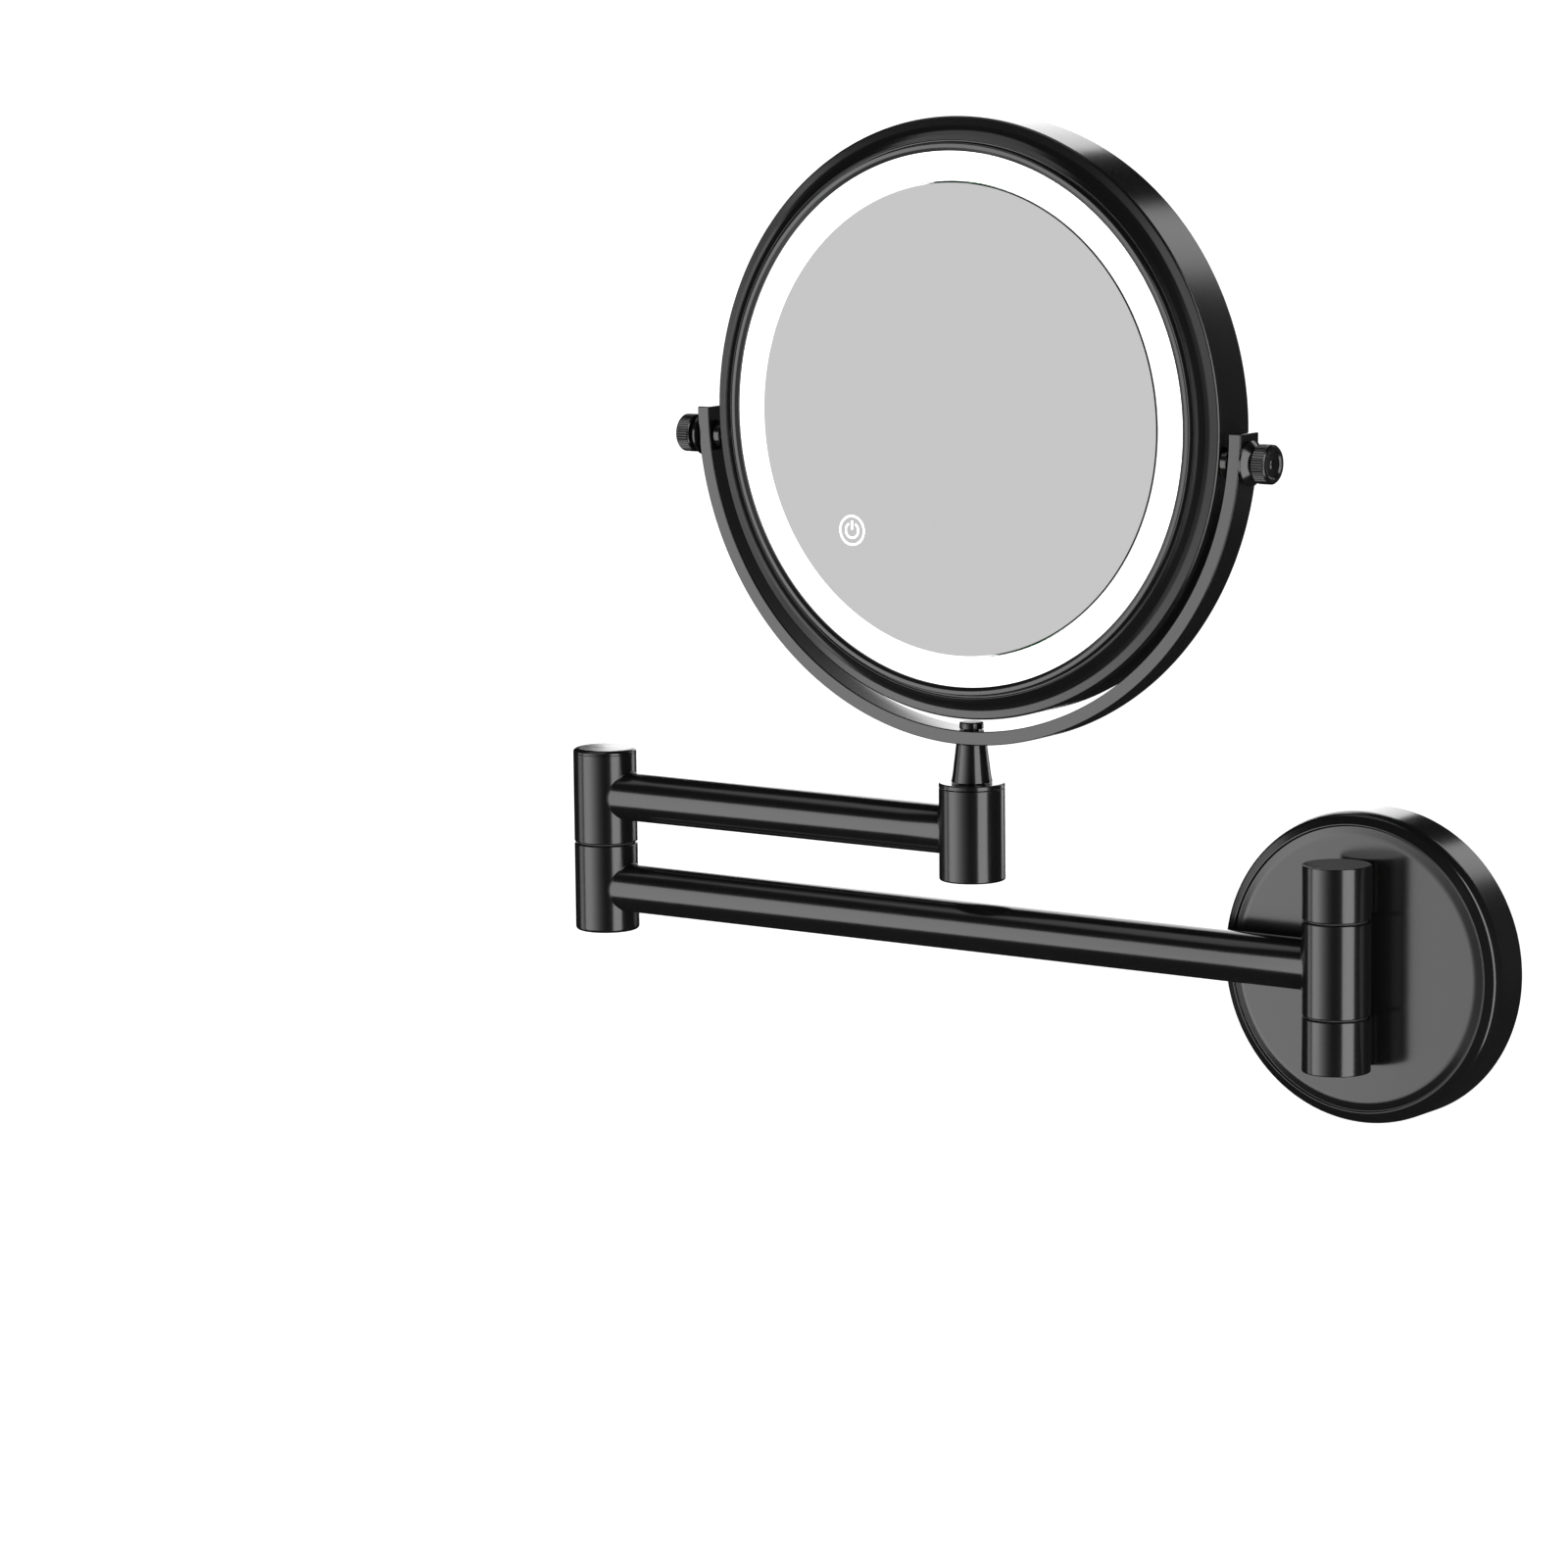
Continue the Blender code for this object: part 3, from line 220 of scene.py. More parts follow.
AXES = {
    "up": np.eye(3),
    "front": np.array([[1, 0, 0], [0, 0, 1], [0, -1, 0]], float),
    "right": np.array([[0, 1, 0], [0, 0, 1], [1, 0, 0]], float),
    "left": np.array([[0, -1, 0], [0, 0, 1], [-1, 0, 0]], float),
}


def turned(outline, centre, axis="up", steps=96, closed=False, ripple=None):
    """The outline (radius, height) turned once about an axis through centre: x = r cos t, y = r sin t.
    ripple(r, h, t) may change the radius, as a knurling wheel does."""
    profile = rounded(outline, closed=closed)
    angle = np.linspace(0, 2 * math.pi, steps + 1)
    radius = np.repeat(profile[:, :1], steps + 1, 1)
    height = np.repeat(profile[:, 1:], steps + 1, 1)
    if ripple:
        radius = ripple(radius, height, angle[None, :])
    grid = np.stack([radius * np.cos(angle), radius * np.sin(angle), height], -1)
    grid[:, -1] = grid[:, 0]
    return grid @ AXES[axis] + np.array(centre)


def make_piece(name, grids, material, body, replaced=(), crease=32):
    """A finished piece that rides on its body and stands for its CAD nodes."""
    mesh = surface_mesh(name, grids)
    piece = bpy.data.objects.new(name, mesh)
    bpy.context.scene.collection.objects.link(piece)
    mesh.materials.append(material)
    mesh.shade_smooth()
    mesh.set_sharp_from_angle(angle=math.radians(crease))
    if replaced:
        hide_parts(*replaced)
    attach(piece, body)
    return piece


def machine(piece, grids, operation="DIFFERENCE", crease=32):
    """Cuts the shapes, which keep clear of each other, out of a piece or joins them to it."""
    tool = bpy.data.objects.new("tool", surface_mesh("tool", grids))
    bpy.context.scene.collection.objects.link(tool)
    cut = piece.modifiers.new("cut", "BOOLEAN")
    cut.operation = operation
    cut.solver = "EXACT"
    cut.object = tool
    bpy.context.view_layer.update()
    result = bpy.data.meshes.new_from_object(piece.evaluated_get(bpy.context.evaluated_depsgraph_get()))
    piece.modifiers.remove(cut)
    bpy.data.objects.remove(tool)
    piece.data = result
    result.shade_smooth()
    result.set_sharp_from_angle(angle=math.radians(crease))
    return piece


def block(low, high):
    """A box between two corners, as a closed grid: its square outline carried from floor to roof."""
    x0, y0, z0 = low
    x1, y1, z1 = high
    ring = np.array([(x0, y0), (x1, y0), (x1, y1), (x0, y1), (x0, y0)])
    middle = np.array([(x0 + x1) / 2, (y0 + y1) / 2])
    rows = [(np.repeat(middle[None], 5, 0), z0), (ring, z0), (ring, z1), (np.repeat(middle[None], 5, 0), z1)]
    return np.array([np.column_stack([flat, np.full(5, z)]) for flat, z in rows])


def black_paint(name, grain, roughness):
    """Satin black powder coat: near-black with a faint mottle, a fine orange-peel bump, and a gloss that
    wanders a little with the same mottle."""
    material, shader = procedural(name, (0.004, 0.004, 0.0042), roughness)
    where = add_node(material, "ShaderNodeTexCoord")
    peel = add_node(material, "ShaderNodeTexNoise", [("Vector", where, "Object")], Scale=grain, Detail=3.0)
    cloud = add_node(material, "ShaderNodeTexNoise", [("Vector", where, "Object")], Scale=26.0, Detail=2.0)
    tone = add_node(material, "ShaderNodeMapRange", [("Value", cloud, "Fac")], To_Min=0.0032, To_Max=0.0048)
    mix = add_node(
        material, "ShaderNodeCombineColor", [(c, tone, "Result") for c in ("Red", "Green", "Blue")],
    )
    gloss = add_node(
        material, "ShaderNodeMapRange", [("Value", cloud, "Fac")], To_Min=roughness - 0.02,
        To_Max=roughness + 0.02,
    )
    bump = add_node(material, "ShaderNodeBump", [("Height", peel, "Fac")], Strength=0.03, Distance=0.0001)
    material.node_tree.links.new(mix.outputs["Color"], shader.inputs["Base Color"])
    material.node_tree.links.new(gloss.outputs["Result"], shader.inputs["Roughness"])
    material.node_tree.links.new(bump.outputs["Normal"], shader.inputs["Normal"])
    return material


paint = black_paint("satin_black_powder_coat", 1400.0, 0.18)
PLATE_RADIUS = 55.5 * MM
PLATE_DEPTH = 19.5 * MM
PLATE_SHEET = 1.6 * MM
PLATE_FACE = 2.2 * MM
FACE = 47.4 * MM
LIP = 51.0 * MM
plate_outline = [
    (0, PLATE_DEPTH), (FACE, PLATE_DEPTH, 6.0 * MM), (LIP - 0.5 * MM, PLATE_DEPTH - 0.8 * MM, 0.25 * MM),
    (LIP, PLATE_DEPTH - 0.1 * MM, 0.45 * MM), (54.5 * MM, PLATE_DEPTH - 1.7 * MM, 1.8 * MM),
    (PLATE_RADIUS, PLATE_DEPTH - 4.5 * MM, 6.0 * MM), (PLATE_RADIUS, 0, 0.3 * MM),
    (PLATE_RADIUS - PLATE_SHEET, 0, 0.3 * MM), (PLATE_RADIUS - PLATE_SHEET, PLATE_DEPTH - 5.0 * MM),
    (LIP - 1.0 * MM, PLATE_DEPTH - 3.0 * MM), (FACE, PLATE_DEPTH - PLATE_FACE), (0, PLATE_DEPTH - PLATE_FACE),
]
plate = make_piece(
    "wall_plate", [turned(plate_outline, (0, 0, 0), "front", 224)], paint, "wall_unit", ["rosette"],
)
HINGE_Y = -32.5 * MM
ARM_Z = 2.6 * MM
KNUCKLE_LOW = 17.4 * MM
KNUCKLE_HIGH = 36.6 * MM
WEB_HALF = 7.0 * MM
WEB_SIDE = 1.0 * MM
GAP = 0.3 * MM
windows = [
    block(
        (-WEB_HALF - GAP, -PLATE_DEPTH - 4 * MM, ARM_Z + low),
        (WEB_HALF + GAP, -PLATE_DEPTH + 4 * MM, ARM_Z + high),
    )
    for low, high in (
        (KNUCKLE_LOW + WEB_SIDE - GAP, KNUCKLE_HIGH - WEB_SIDE + GAP),
        (WEB_SIDE - GAP - KNUCKLE_HIGH, GAP - WEB_SIDE - KNUCKLE_LOW),
    )
]
grub_hole = turned(
    [(0, -45 * MM), (2.3 * MM, -45 * MM), (2.3 * MM, -60 * MM), (0, -60 * MM)], (0, -4 * MM, 0), "up", 32,
)
machine(plate, [*windows, grub_hole])

# ---------------------------------------------------------------- wall hinge
# Two turned knuckles on webs that pass through the wall plate to a base plate behind its face: one welded
# and powder-coated unit. A steel pin runs down through it and a plug closes the bore from below.

BARREL = 12.1 * MM
BORE = 4.3 * MM
base_back = PLATE_DEPTH - PLATE_FACE - GAP
hinge_unit = make_piece(
    "hinge_knuckles",
    [block((-15 * MM, -base_back, ARM_Z - 35.6 * MM), (15 * MM, -base_back + 5 * MM, ARM_Z + 35.6 * MM))],
    paint, "wall_unit", ["hinge_bracket"],
)
webs, knuckles, cuts = [], [], []
for side in (-1, 1):
    z = sorted((ARM_Z + side * (KNUCKLE_LOW + WEB_SIDE), ARM_Z + side * (KNUCKLE_HIGH - WEB_SIDE)))
    webs.append(block((-WEB_HALF, HINGE_Y, z[0]), (WEB_HALF, -base_back + 2.5 * MM, z[1])))
    ends = sorted((side * KNUCKLE_LOW, side * KNUCKLE_HIGH), reverse=True)
    knuckle = [(0, ends[0]), (BARREL, ends[0], 0.45 * MM), (BARREL, ends[1], 0.45 * MM), (0, ends[1])]
    knuckles.append(turned(knuckle, (0, HINGE_Y, ARM_Z), "up", 128))
    hole = [(0, 22 * MM), (2.3 * MM, 22 * MM), (2.3 * MM, 11.7 * MM), (0, 11.7 * MM)]
    cuts.append(turned(hole, (0, 0, side * 24 * MM), "front", 32))
pin_bore = [
    (0, KNUCKLE_HIGH - 4 * MM), (BORE, KNUCKLE_HIGH - 4 * MM), (BORE, -KNUCKLE_HIGH - GAP),
    (0, -KNUCKLE_HIGH - GAP),
]
cuts.append(turned(pin_bore, (0, HINGE_Y, ARM_Z), "up", 48))
machine(hinge_unit, webs, "UNION")
machine(hinge_unit, knuckles, "UNION")
machine(hinge_unit, cuts)

# ---------------------------------------------------------------- arm tubes and barrels
# Round steel tube cut to a saddle at both ends and welded between turned barrels, ground smooth at the
# weld and powder-coated. The barrels turn on each other with a nylon washer in the seam.

TUBE = 9.1 * MM
TUBE_SHEET = 1.5 * MM
WELD = 0.7 * MM


def arm_tube(start, end, height):
    """A tube along X from barrel to barrel. At angle a it begins where its side meets the barrel, at
    sqrt(R^2 - y^2) from the barrel's axis; towards each end it flares by a quarter-round weld."""
    a = np.linspace(0, 2 * math.pi, 97)[None, :]
    near = WELD * (1 - np.sin(np.linspace(0, math.pi / 2, 6)))
    reach = WELD * (1 - np.cos(np.linspace(0, math.pi / 2, 6)))
    flare = np.concatenate([near, np.zeros(9), near[::-1]])[:, None]
    radius = TUBE + flare
    y = radius * np.cos(a)
    foot = np.sqrt(BARREL ** 2 - np.minimum(np.abs(y), 0.97 * BARREL) ** 2) - 0.05 * MM
    low = start + foot
    high = end - foot
    along = np.empty_like(y)
    along[:6] = low[:6] + reach[:, None]
    along[-6:] = high[-6:] - reach[::-1, None]
    t = np.linspace(0, 1, 11)[1:-1, None]
    along[6:-6] = along[5] * (1 - t) + along[-6] * t
    outer = np.stack([along, y, radius * np.sin(a)], -1)
    inner_y = (TUBE - TUBE_SHEET) * np.cos(a)
    inner_foot = np.sqrt(BARREL ** 2 - inner_y ** 2) - 0.05 * MM
    inner = [
        np.stack([x, inner_y[0], (TUBE - TUBE_SHEET) * np.sin(a[0])], -1)
        for x in (end - inner_foot[0], start + inner_foot[0])
    ]
    grid = np.concatenate([outer, np.array(inner), outer[:1]])
    grid[:, -1] = grid[:, 0]
    return grid + np.array([0, HINGE_Y, height])


ELBOW_X = -321.0 * MM
POST_X = -153.0 * MM
HUB_TOP = 16.6 * MM
UPPER_LOW = 17.4 * MM
UPPER_TOP = 51.2 * MM
UPPER_TUBE_Z = ARM_Z + 35.0 * MM
hub_outline = [
    (BORE, HUB_TOP), (BARREL, HUB_TOP, 0.45 * MM), (BARREL, -HUB_TOP, 0.45 * MM), (BORE, -HUB_TOP),
]
make_piece(
    "lower_arm_hub", [turned(hub_outline, (0, HINGE_Y, ARM_Z), "up", 128, True)], paint, "lower_arm",
    ["lower_arm_hub"],
)
make_piece(
    "lower_arm_tube", [arm_tube(ELBOW_X, 0.0, ARM_Z)], paint, "lower_arm", ["lower_arm_tube"],
    40,
)
lower_barrel = [
    (0, -HUB_TOP + 4 * MM), (BORE, -HUB_TOP + 4 * MM), (BORE, HUB_TOP), (BARREL, HUB_TOP, 0.45 * MM),
    (BARREL, -HUB_TOP, 1.3 * MM), (0, -HUB_TOP),
]
make_piece(
    "elbow_lower_barrel", [turned(lower_barrel, (ELBOW_X, HINGE_Y, ARM_Z), "up", 128)], paint, "lower_arm",
    ["elbow_lower_barrel"],
)
make_piece(
    "upper_arm_tube", [arm_tube(ELBOW_X, POST_X, UPPER_TUBE_Z)], paint, "upper_arm", ["upper_arm_tube"],
    40,
)
NUT_WELL = 13.0 * MM / 2 / math.cos(math.pi / 6) + 1.0 * MM
upper_barrel = [
    (NUT_WELL, UPPER_TOP), (BARREL, UPPER_TOP, 0.2 * MM), (BARREL, UPPER_LOW, 0.45 * MM), (BORE, UPPER_LOW),
    (BORE, UPPER_TOP - 9 * MM), (NUT_WELL, UPPER_TOP - 9 * MM),
]
make_piece(
    "elbow_upper_barrel", [turned(upper_barrel, (ELBOW_X, HINGE_Y, ARM_Z), "up", 128, True)], paint,
    "upper_arm",
    ["elbow_upper_barrel"],
)
CAP_LOW = UPPER_TOP + 0.12 * MM
CAP_TOP = 53.1 * MM
cap_outline = [
    (0, CAP_TOP), (BARREL - 1.2 * MM, CAP_TOP - 0.12 * MM, 2.0 * MM), (BARREL, CAP_TOP - 1.0 * MM, 0.6 * MM),
    (BARREL, CAP_LOW), (NUT_WELL - GAP, CAP_LOW), (NUT_WELL - GAP, UPPER_TOP - 1.2 * MM),
    (0, UPPER_TOP - 1.2 * MM),
]
make_piece(
    "elbow_cap", [turned(cap_outline, (ELBOW_X, HINGE_Y, ARM_Z), "up", 128)], paint, "upper_arm",
    ["elbow_cap"],
)
mirror_barrel = [
    (4.8 * MM, UPPER_TOP), (BARREL, UPPER_TOP, 0.25 * MM), (BARREL, UPPER_LOW, 0.8 * MM),
    (7.8 * MM, UPPER_LOW),
    (7.8 * MM, UPPER_LOW + 5 * MM), (4.8 * MM, UPPER_LOW + 5 * MM),
]
make_piece(
    "mirror_barrel", [turned(mirror_barrel, (POST_X, HINGE_Y, ARM_Z), "up", 128, True)], paint, "upper_arm",
    ["mirror_barrel"],
)

# ---------------------------------------------------------------- swivel post
# A tapered turned post on a thin collar. Its spigot turns in the barrel, and its threaded shank goes through
# the yoke to a small cap nut.

collar = [
    (4.8 * MM, CAP_TOP), (BARREL, CAP_TOP, 0.6 * MM), (BARREL, CAP_LOW + 0.2 * MM),
    (4.8 * MM, CAP_LOW + 0.2 * MM),
]
make_piece(
    "swivel_collar", [turned(collar, (POST_X, HINGE_Y, ARM_Z), "up", 128, True)], paint, "swivel",
    ["swivel_washer"],
)
YOKE_Z = 185.0 * MM
YOKE_OUT = 117.5 * MM
YOKE_SHEET = 5.0 * MM
POST_FOOT = 53.4 * MM
YOKE_IN = YOKE_OUT - YOKE_SHEET
post_outline = [
    (0, 74.0 * MM), (2.5 * MM, 74.0 * MM), (2.5 * MM, YOKE_Z - YOKE_OUT - GAP),
    (5.6 * MM, YOKE_Z - YOKE_OUT - 0.1 * MM, 0.2 * MM), (6.9 * MM, POST_FOOT + 3.5 * MM, 4.0 * MM),
    (7.3 * MM, POST_FOOT + 0.9 * MM, 0.5 * MM), (7.5 * MM, POST_FOOT, 0.15 * MM), (4.5 * MM, POST_FOOT),
    (4.5 * MM, 22.2 * MM), (1.6 * MM, 22.2 * MM), (1.6 * MM, 32.2 * MM), (0, 32.2 * MM),
]
make_piece(
    "swivel_post", [turned(post_outline, (POST_X, HINGE_Y, ARM_Z), "up", 96)], paint, "swivel",
    ["swivel_post"],
)
NUT_SEAT = YOKE_Z - YOKE_IN + GAP
nut_outline = [
    (0, NUT_SEAT + 2.5 * MM), (4.4 * MM, NUT_SEAT + 2.5 * MM, 0.6 * MM), (4.4 * MM, NUT_SEAT, 0.2 * MM),
    (2.8 * MM, NUT_SEAT), (2.8 * MM, NUT_SEAT + 1.7 * MM), (0, NUT_SEAT + 1.7 * MM),
]
make_piece(
    "yoke_cap_nut", [turned(nut_outline, (POST_X, HINGE_Y, ARM_Z), "up", 64)], paint, "swivel",
    ["yoke_cap_nut"],
)

# ---------------------------------------------------------------- yoke
# A flat steel strip bent to a half circle round the head, its long edges eased and its ends rounded over,
# drilled for the post's shank and for the two pivot studs.

YOKE_DEPTH = 12.0 * MM


def yoke_strip():
    """The strip's rounded section carried round half a circle about (POST_X, YOKE_Z): radius and depth come
    from a superellipse-cornered rectangle, and the section shrinks over the last millimetre of each end."""
    half = np.array([YOKE_SHEET / 2, YOKE_DEPTH / 2])
    edge = 0.4 * MM
    t = np.linspace(0, math.pi / 2, 6)
    corner = np.column_stack([np.cos(t), np.sin(t)]) * edge
    section = []
    for sx, sy in ((1, 1), (-1, 1), (-1, -1), (1, -1)):
        arc = corner if sx * sy > 0 else corner[::-1]
        section.append((half - edge + arc) * np.array([sx, sy]))
    section = np.vstack(section)
    dense = [section[:1]]
    for a, b in zip(section, np.roll(section, -1, 0)):
        length = np.linalg.norm(b - a)
        if length > MM:
            dense.extend([[a + (b - a) * 0.25 * MM / length], [b - (b - a) * 0.25 * MM / length]])
        dense.append(b[None])
    section = np.vstack(dense)
    inset = edge * (1 - np.sin(np.linspace(0, math.pi / 2, 6)))
    back = edge * (1 - np.cos(np.linspace(0, math.pi / 2, 6)))
    middle = YOKE_OUT - YOKE_SHEET / 2
    angle = np.concatenate([back / middle, np.linspace(edge / middle, math.pi - edge / middle, 181)[1:-1],
                            math.pi - back[::-1] / middle])
    shrink = np.concatenate([inset, np.zeros(179), inset[::-1]])
    scale = (half - shrink[:, None]) / half
    rows = section[None] * scale[:, None, :]
    rows = np.concatenate([rows[:1] * 0, rows, rows[-1:] * 0])
    angle = np.concatenate([angle[:1], angle, angle[-1:]])
    radius = middle + rows[..., 0]
    x = POST_X + radius * np.cos(angle)[:, None]
    z = ARM_Z + YOKE_Z - radius * np.sin(angle)[:, None]
    return np.stack([x, HINGE_Y + rows[..., 1], z], -1)


yoke = make_piece("yoke", [yoke_strip()], paint, "swivel", ["yoke"])
TILT_Z = ARM_Z + 174.5 * MM
stud_hole = [(0, 125 * MM), (3.3 * MM, 125 * MM), (3.3 * MM, 105 * MM), (0, 105 * MM)]
shank_hole = [(0, 78 * MM), (2.8 * MM, 78 * MM), (2.8 * MM, 62 * MM), (0, 62 * MM)]
machine(yoke, [turned(stud_hole, (POST_X, HINGE_Y, TILT_Z), side, 40) for side in ("left", "right")]
        + [turned(shank_hole, (POST_X, HINGE_Y, ARM_Z), "up", 40)])

# ---------------------------------------------------------------- knobs
# Turned clamping knobs: a flange against the yoke, a cone down to the neck and a straight-knurled grip with
# a dished end. Each screws on a steel stud that the head hangs on.

KNOB_FLANGE = 8.0 * MM
KNOB_NECK = 5.2 * MM
KNOB_SEAT = math.sqrt(YOKE_OUT ** 2 - (10.5 * MM - KNOB_FLANGE) ** 2) + GAP
GRIP = KNOB_SEAT + 3.8 * MM
KNOB_END = GRIP + 5.7 * MM
KNOB = 7.0 * MM
knob_outline = [
    (0, KNOB_END - 1.1 * MM), (1.6 * MM, KNOB_END - 0.7 * MM, 0.3 * MM),
    (4.6 * MM, KNOB_END - 0.6 * MM, 0.3 * MM),
    (5.1 * MM, KNOB_END, 0.2 * MM), (KNOB - 0.5 * MM, KNOB_END, 0.3 * MM),
    (KNOB, KNOB_END - 0.6 * MM, 0.2 * MM),
    (KNOB, GRIP + 0.5 * MM, 0.2 * MM), (KNOB - 0.5 * MM, GRIP, 0.2 * MM), (KNOB_NECK, GRIP),
    (KNOB_NECK, GRIP - 0.4 * MM, 0.3 * MM), (KNOB_FLANGE, KNOB_SEAT + 0.8 * MM, 0.2 * MM),
    (KNOB_FLANGE, KNOB_SEAT), (3.3 * MM, KNOB_SEAT), (3.3 * MM, GRIP + 1.5 * MM), (0, GRIP + 1.5 * MM),
]
RIDGES = 44
SPACER = 5.4 * MM
HEAD = 108.25 * MM
PIVOT_DROP = 10.5 * MM


def knurl(radius, height, angle):
    """Straight knurling: the grip's radius dips in rounded grooves, r - d (0.5 + 0.5 cos(n a))^2, over its
    cylindrical length only."""
    on_grip = (radius > KNOB - 0.35 * MM) & (height > GRIP + 0.5 * MM) & (height < KNOB_END - 0.55 * MM)
    depth = 0.28 * MM * (0.5 + 0.5 * np.cos(RIDGES * angle)) ** 2
    return radius - depth * on_grip


for side in ("left", "right"):
    make_piece(
        f"knob_{side}", [turned(knob_outline, (POST_X, HINGE_Y, TILT_Z), side, RIDGES * 8, ripple=knurl)],
        paint,
        f"knob_{side}", [f"knob_{side}"], 45,
    )
    spacer_in = math.sqrt(HEAD ** 2 - (PIVOT_DROP - SPACER) ** 2) + GAP
    spacer_out = math.sqrt(YOKE_IN ** 2 - (PIVOT_DROP + SPACER) ** 2) - GAP
    spacer = [
        (SPACER, spacer_out, 0.4 * MM), (SPACER, spacer_in, 0.3 * MM), (3.3 * MM, spacer_in),
        (3.3 * MM, spacer_out),
    ]
    make_piece(
        f"pivot_spacer_{side}", [turned(spacer, (POST_X, HINGE_Y, TILT_Z), side, 72, True)], paint, "head",
        [f"pivot_spacer_{side}"],
    )

# ---------------------------------------------------------------- head ring
# The head's frame: a spun ring with a polished bead round the light, a groove, a hollow cove, a rounded rim
# and a deep side wall, all in the same satin black.

HEAD_Z = ARM_Z + 185.0 * MM
HEAD_BACK = -15.0 * MM
LIGHT_OUT = 96.0 * MM
BEAD_FRONT = 10.2 * MM
LAMP_FRONT = 8.5 * MM
GLASS_FRONT = 9.0 * MM
ring_outline = [
    (LIGHT_OUT, LAMP_FRONT + GAP), (LIGHT_OUT, 9.6 * MM, 0.1 * MM), (97.4 * MM, BEAD_FRONT, 0.8 * MM),
    (99.0 * MM, BEAD_FRONT, 0.6 * MM), (99.3 * MM, 8.2 * MM, 0.15 * MM), (99.8 * MM, 8.2 * MM, 0.15 * MM),
    (100.1 * MM, 8.9 * MM, 0.25 * MM), (101.5 * MM, 7.7 * MM, 4.0 * MM), (103.2 * MM, 6.6 * MM, 4.0 * MM),
    (104.8 * MM, 6.0 * MM, 4.0 * MM), (107.7 * MM, 5.4 * MM, 0.4 * MM), (HEAD, 4.9 * MM, 0.3 * MM),
    (HEAD, HEAD_BACK, 0.9 * MM), (106.2 * MM, HEAD_BACK), (106.2 * MM, 3.4 * MM), (103.5 * MM, 4.9 * MM),
    (98.8 * MM, 6.4 * MM), (98.8 * MM, LAMP_FRONT + GAP),
]
head_centre = (POST_X, HINGE_Y, HEAD_Z)
ring_piece = make_piece(
    "head_ring", [turned(ring_outline, head_centre, "front", 288, True)], paint, "head", ["frame_ring"],
)
bush_hole = [(0, 115 * MM), (4.5 * MM, 115 * MM), (4.5 * MM, 98 * MM), (0, 98 * MM)]
machine(ring_piece, [turned(bush_hole, (POST_X, HINGE_Y, TILT_Z), side, 40) for side in ("left", "right")])

# ---------------------------------------------------------------- light ring
# An opal acrylic annulus behind the bead, lit evenly from the back by the light board.

opal, shader = procedural("opal_acrylic", (0.93, 0.93, 0.93), 0.4)
where = add_node(opal, "ShaderNodeTexCoord")
haze = add_node(opal, "ShaderNodeTexNoise", [("Vector", where, "Object")], Scale=500.0, Detail=2.0)
bump = add_node(opal, "ShaderNodeBump", [("Height", haze, "Fac")], Strength=0.03, Distance=0.0001)
tone = add_node(opal, "ShaderNodeMapRange", [("Value", haze, "Fac")], To_Min=0.90, To_Max=0.96)
mix = add_node(opal, "ShaderNodeCombineColor", [(c, tone, "Result") for c in ("Red", "Green", "Blue")])
opal.node_tree.links.new(mix.outputs["Color"], shader.inputs["Base Color"])
opal.node_tree.links.new(bump.outputs["Normal"], shader.inputs["Normal"])
shader.inputs["Emission Color"].default_value = (1.0, 1.0, 1.0, 1)
shader.inputs["Emission Strength"].default_value = 1.15
GLASS = 85.2 * MM
lamp_outline = [
    (GLASS + GAP, LAMP_FRONT, 0.15 * MM), (98.5 * MM, LAMP_FRONT, 0.15 * MM),
    (98.5 * MM, LAMP_FRONT - 2 * MM),
    (GLASS + GAP, LAMP_FRONT - 2 * MM),
]
make_piece(
    "light_ring", [turned(lamp_outline, head_centre, "front", 256, True)], opal, "head", ["light_diffuser"],
)

# ---------------------------------------------------------------- mirror glass
# A round silvered glass with a ground edge. A touch mark for the light is printed near its lower left:
# two rings with a short bar at the middle.

silver, shader = procedural("silvered_glass", (0.56, 0.56, 0.56), 0.03, 1.0)
where = add_node(silver, "ShaderNodeTexCoord")
wave = add_node(silver, "ShaderNodeTexNoise", [("Vector", where, "Object")], Scale=60.0, Detail=1.0)
gloss = add_node(silver, "ShaderNodeMapRange", [("Value", wave, "Fac")], To_Min=0.02, To_Max=0.05)
silver.node_tree.links.new(gloss.outputs["Result"], shader.inputs["Roughness"])
glass_outline = [
    (0, GLASS_FRONT), (GLASS - 0.45 * MM, GLASS_FRONT), (GLASS, GLASS_FRONT - 0.45 * MM),
    (GLASS, GLASS_FRONT - 3 * MM), (0, GLASS_FRONT - 3 * MM),
]
glass = make_piece(
    "mirror_glass", [turned(glass_outline, head_centre, "front", 256)], silver, "head", ["mirror_glass"],
    20,
)
print_white_painted_glow, shader = procedural("touch_mark_white_painted_glow", (0.95, 0.95, 0.95), 0.4)
where = add_node(print_white_painted_glow, "ShaderNodeTexCoord")
haze = add_node(print_white_painted_glow, "ShaderNodeTexNoise", [("Vector", where, "Object")], Scale=900.0)
gloss = add_node(print_white_painted_glow, "ShaderNodeMapRange", [("Value", haze, "Fac")], To_Min=0.35, To_Max=0.45)
print_white_painted_glow.node_tree.links.new(gloss.outputs["Result"], shader.inputs["Roughness"])
# The white ink also gets an emission of its own. This is a painted glow that keeps the printed mark bright
# whatever light falls on it.
shader.inputs["Emission Color"].default_value = (1, 1, 1, 1)
shader.inputs["Emission Strength"].default_value = 0.9
MARK_X = POST_X - 45.8 * MM
MARK_Z = HEAD_Z - 41.9 * MM
INK = 0.05 * MM


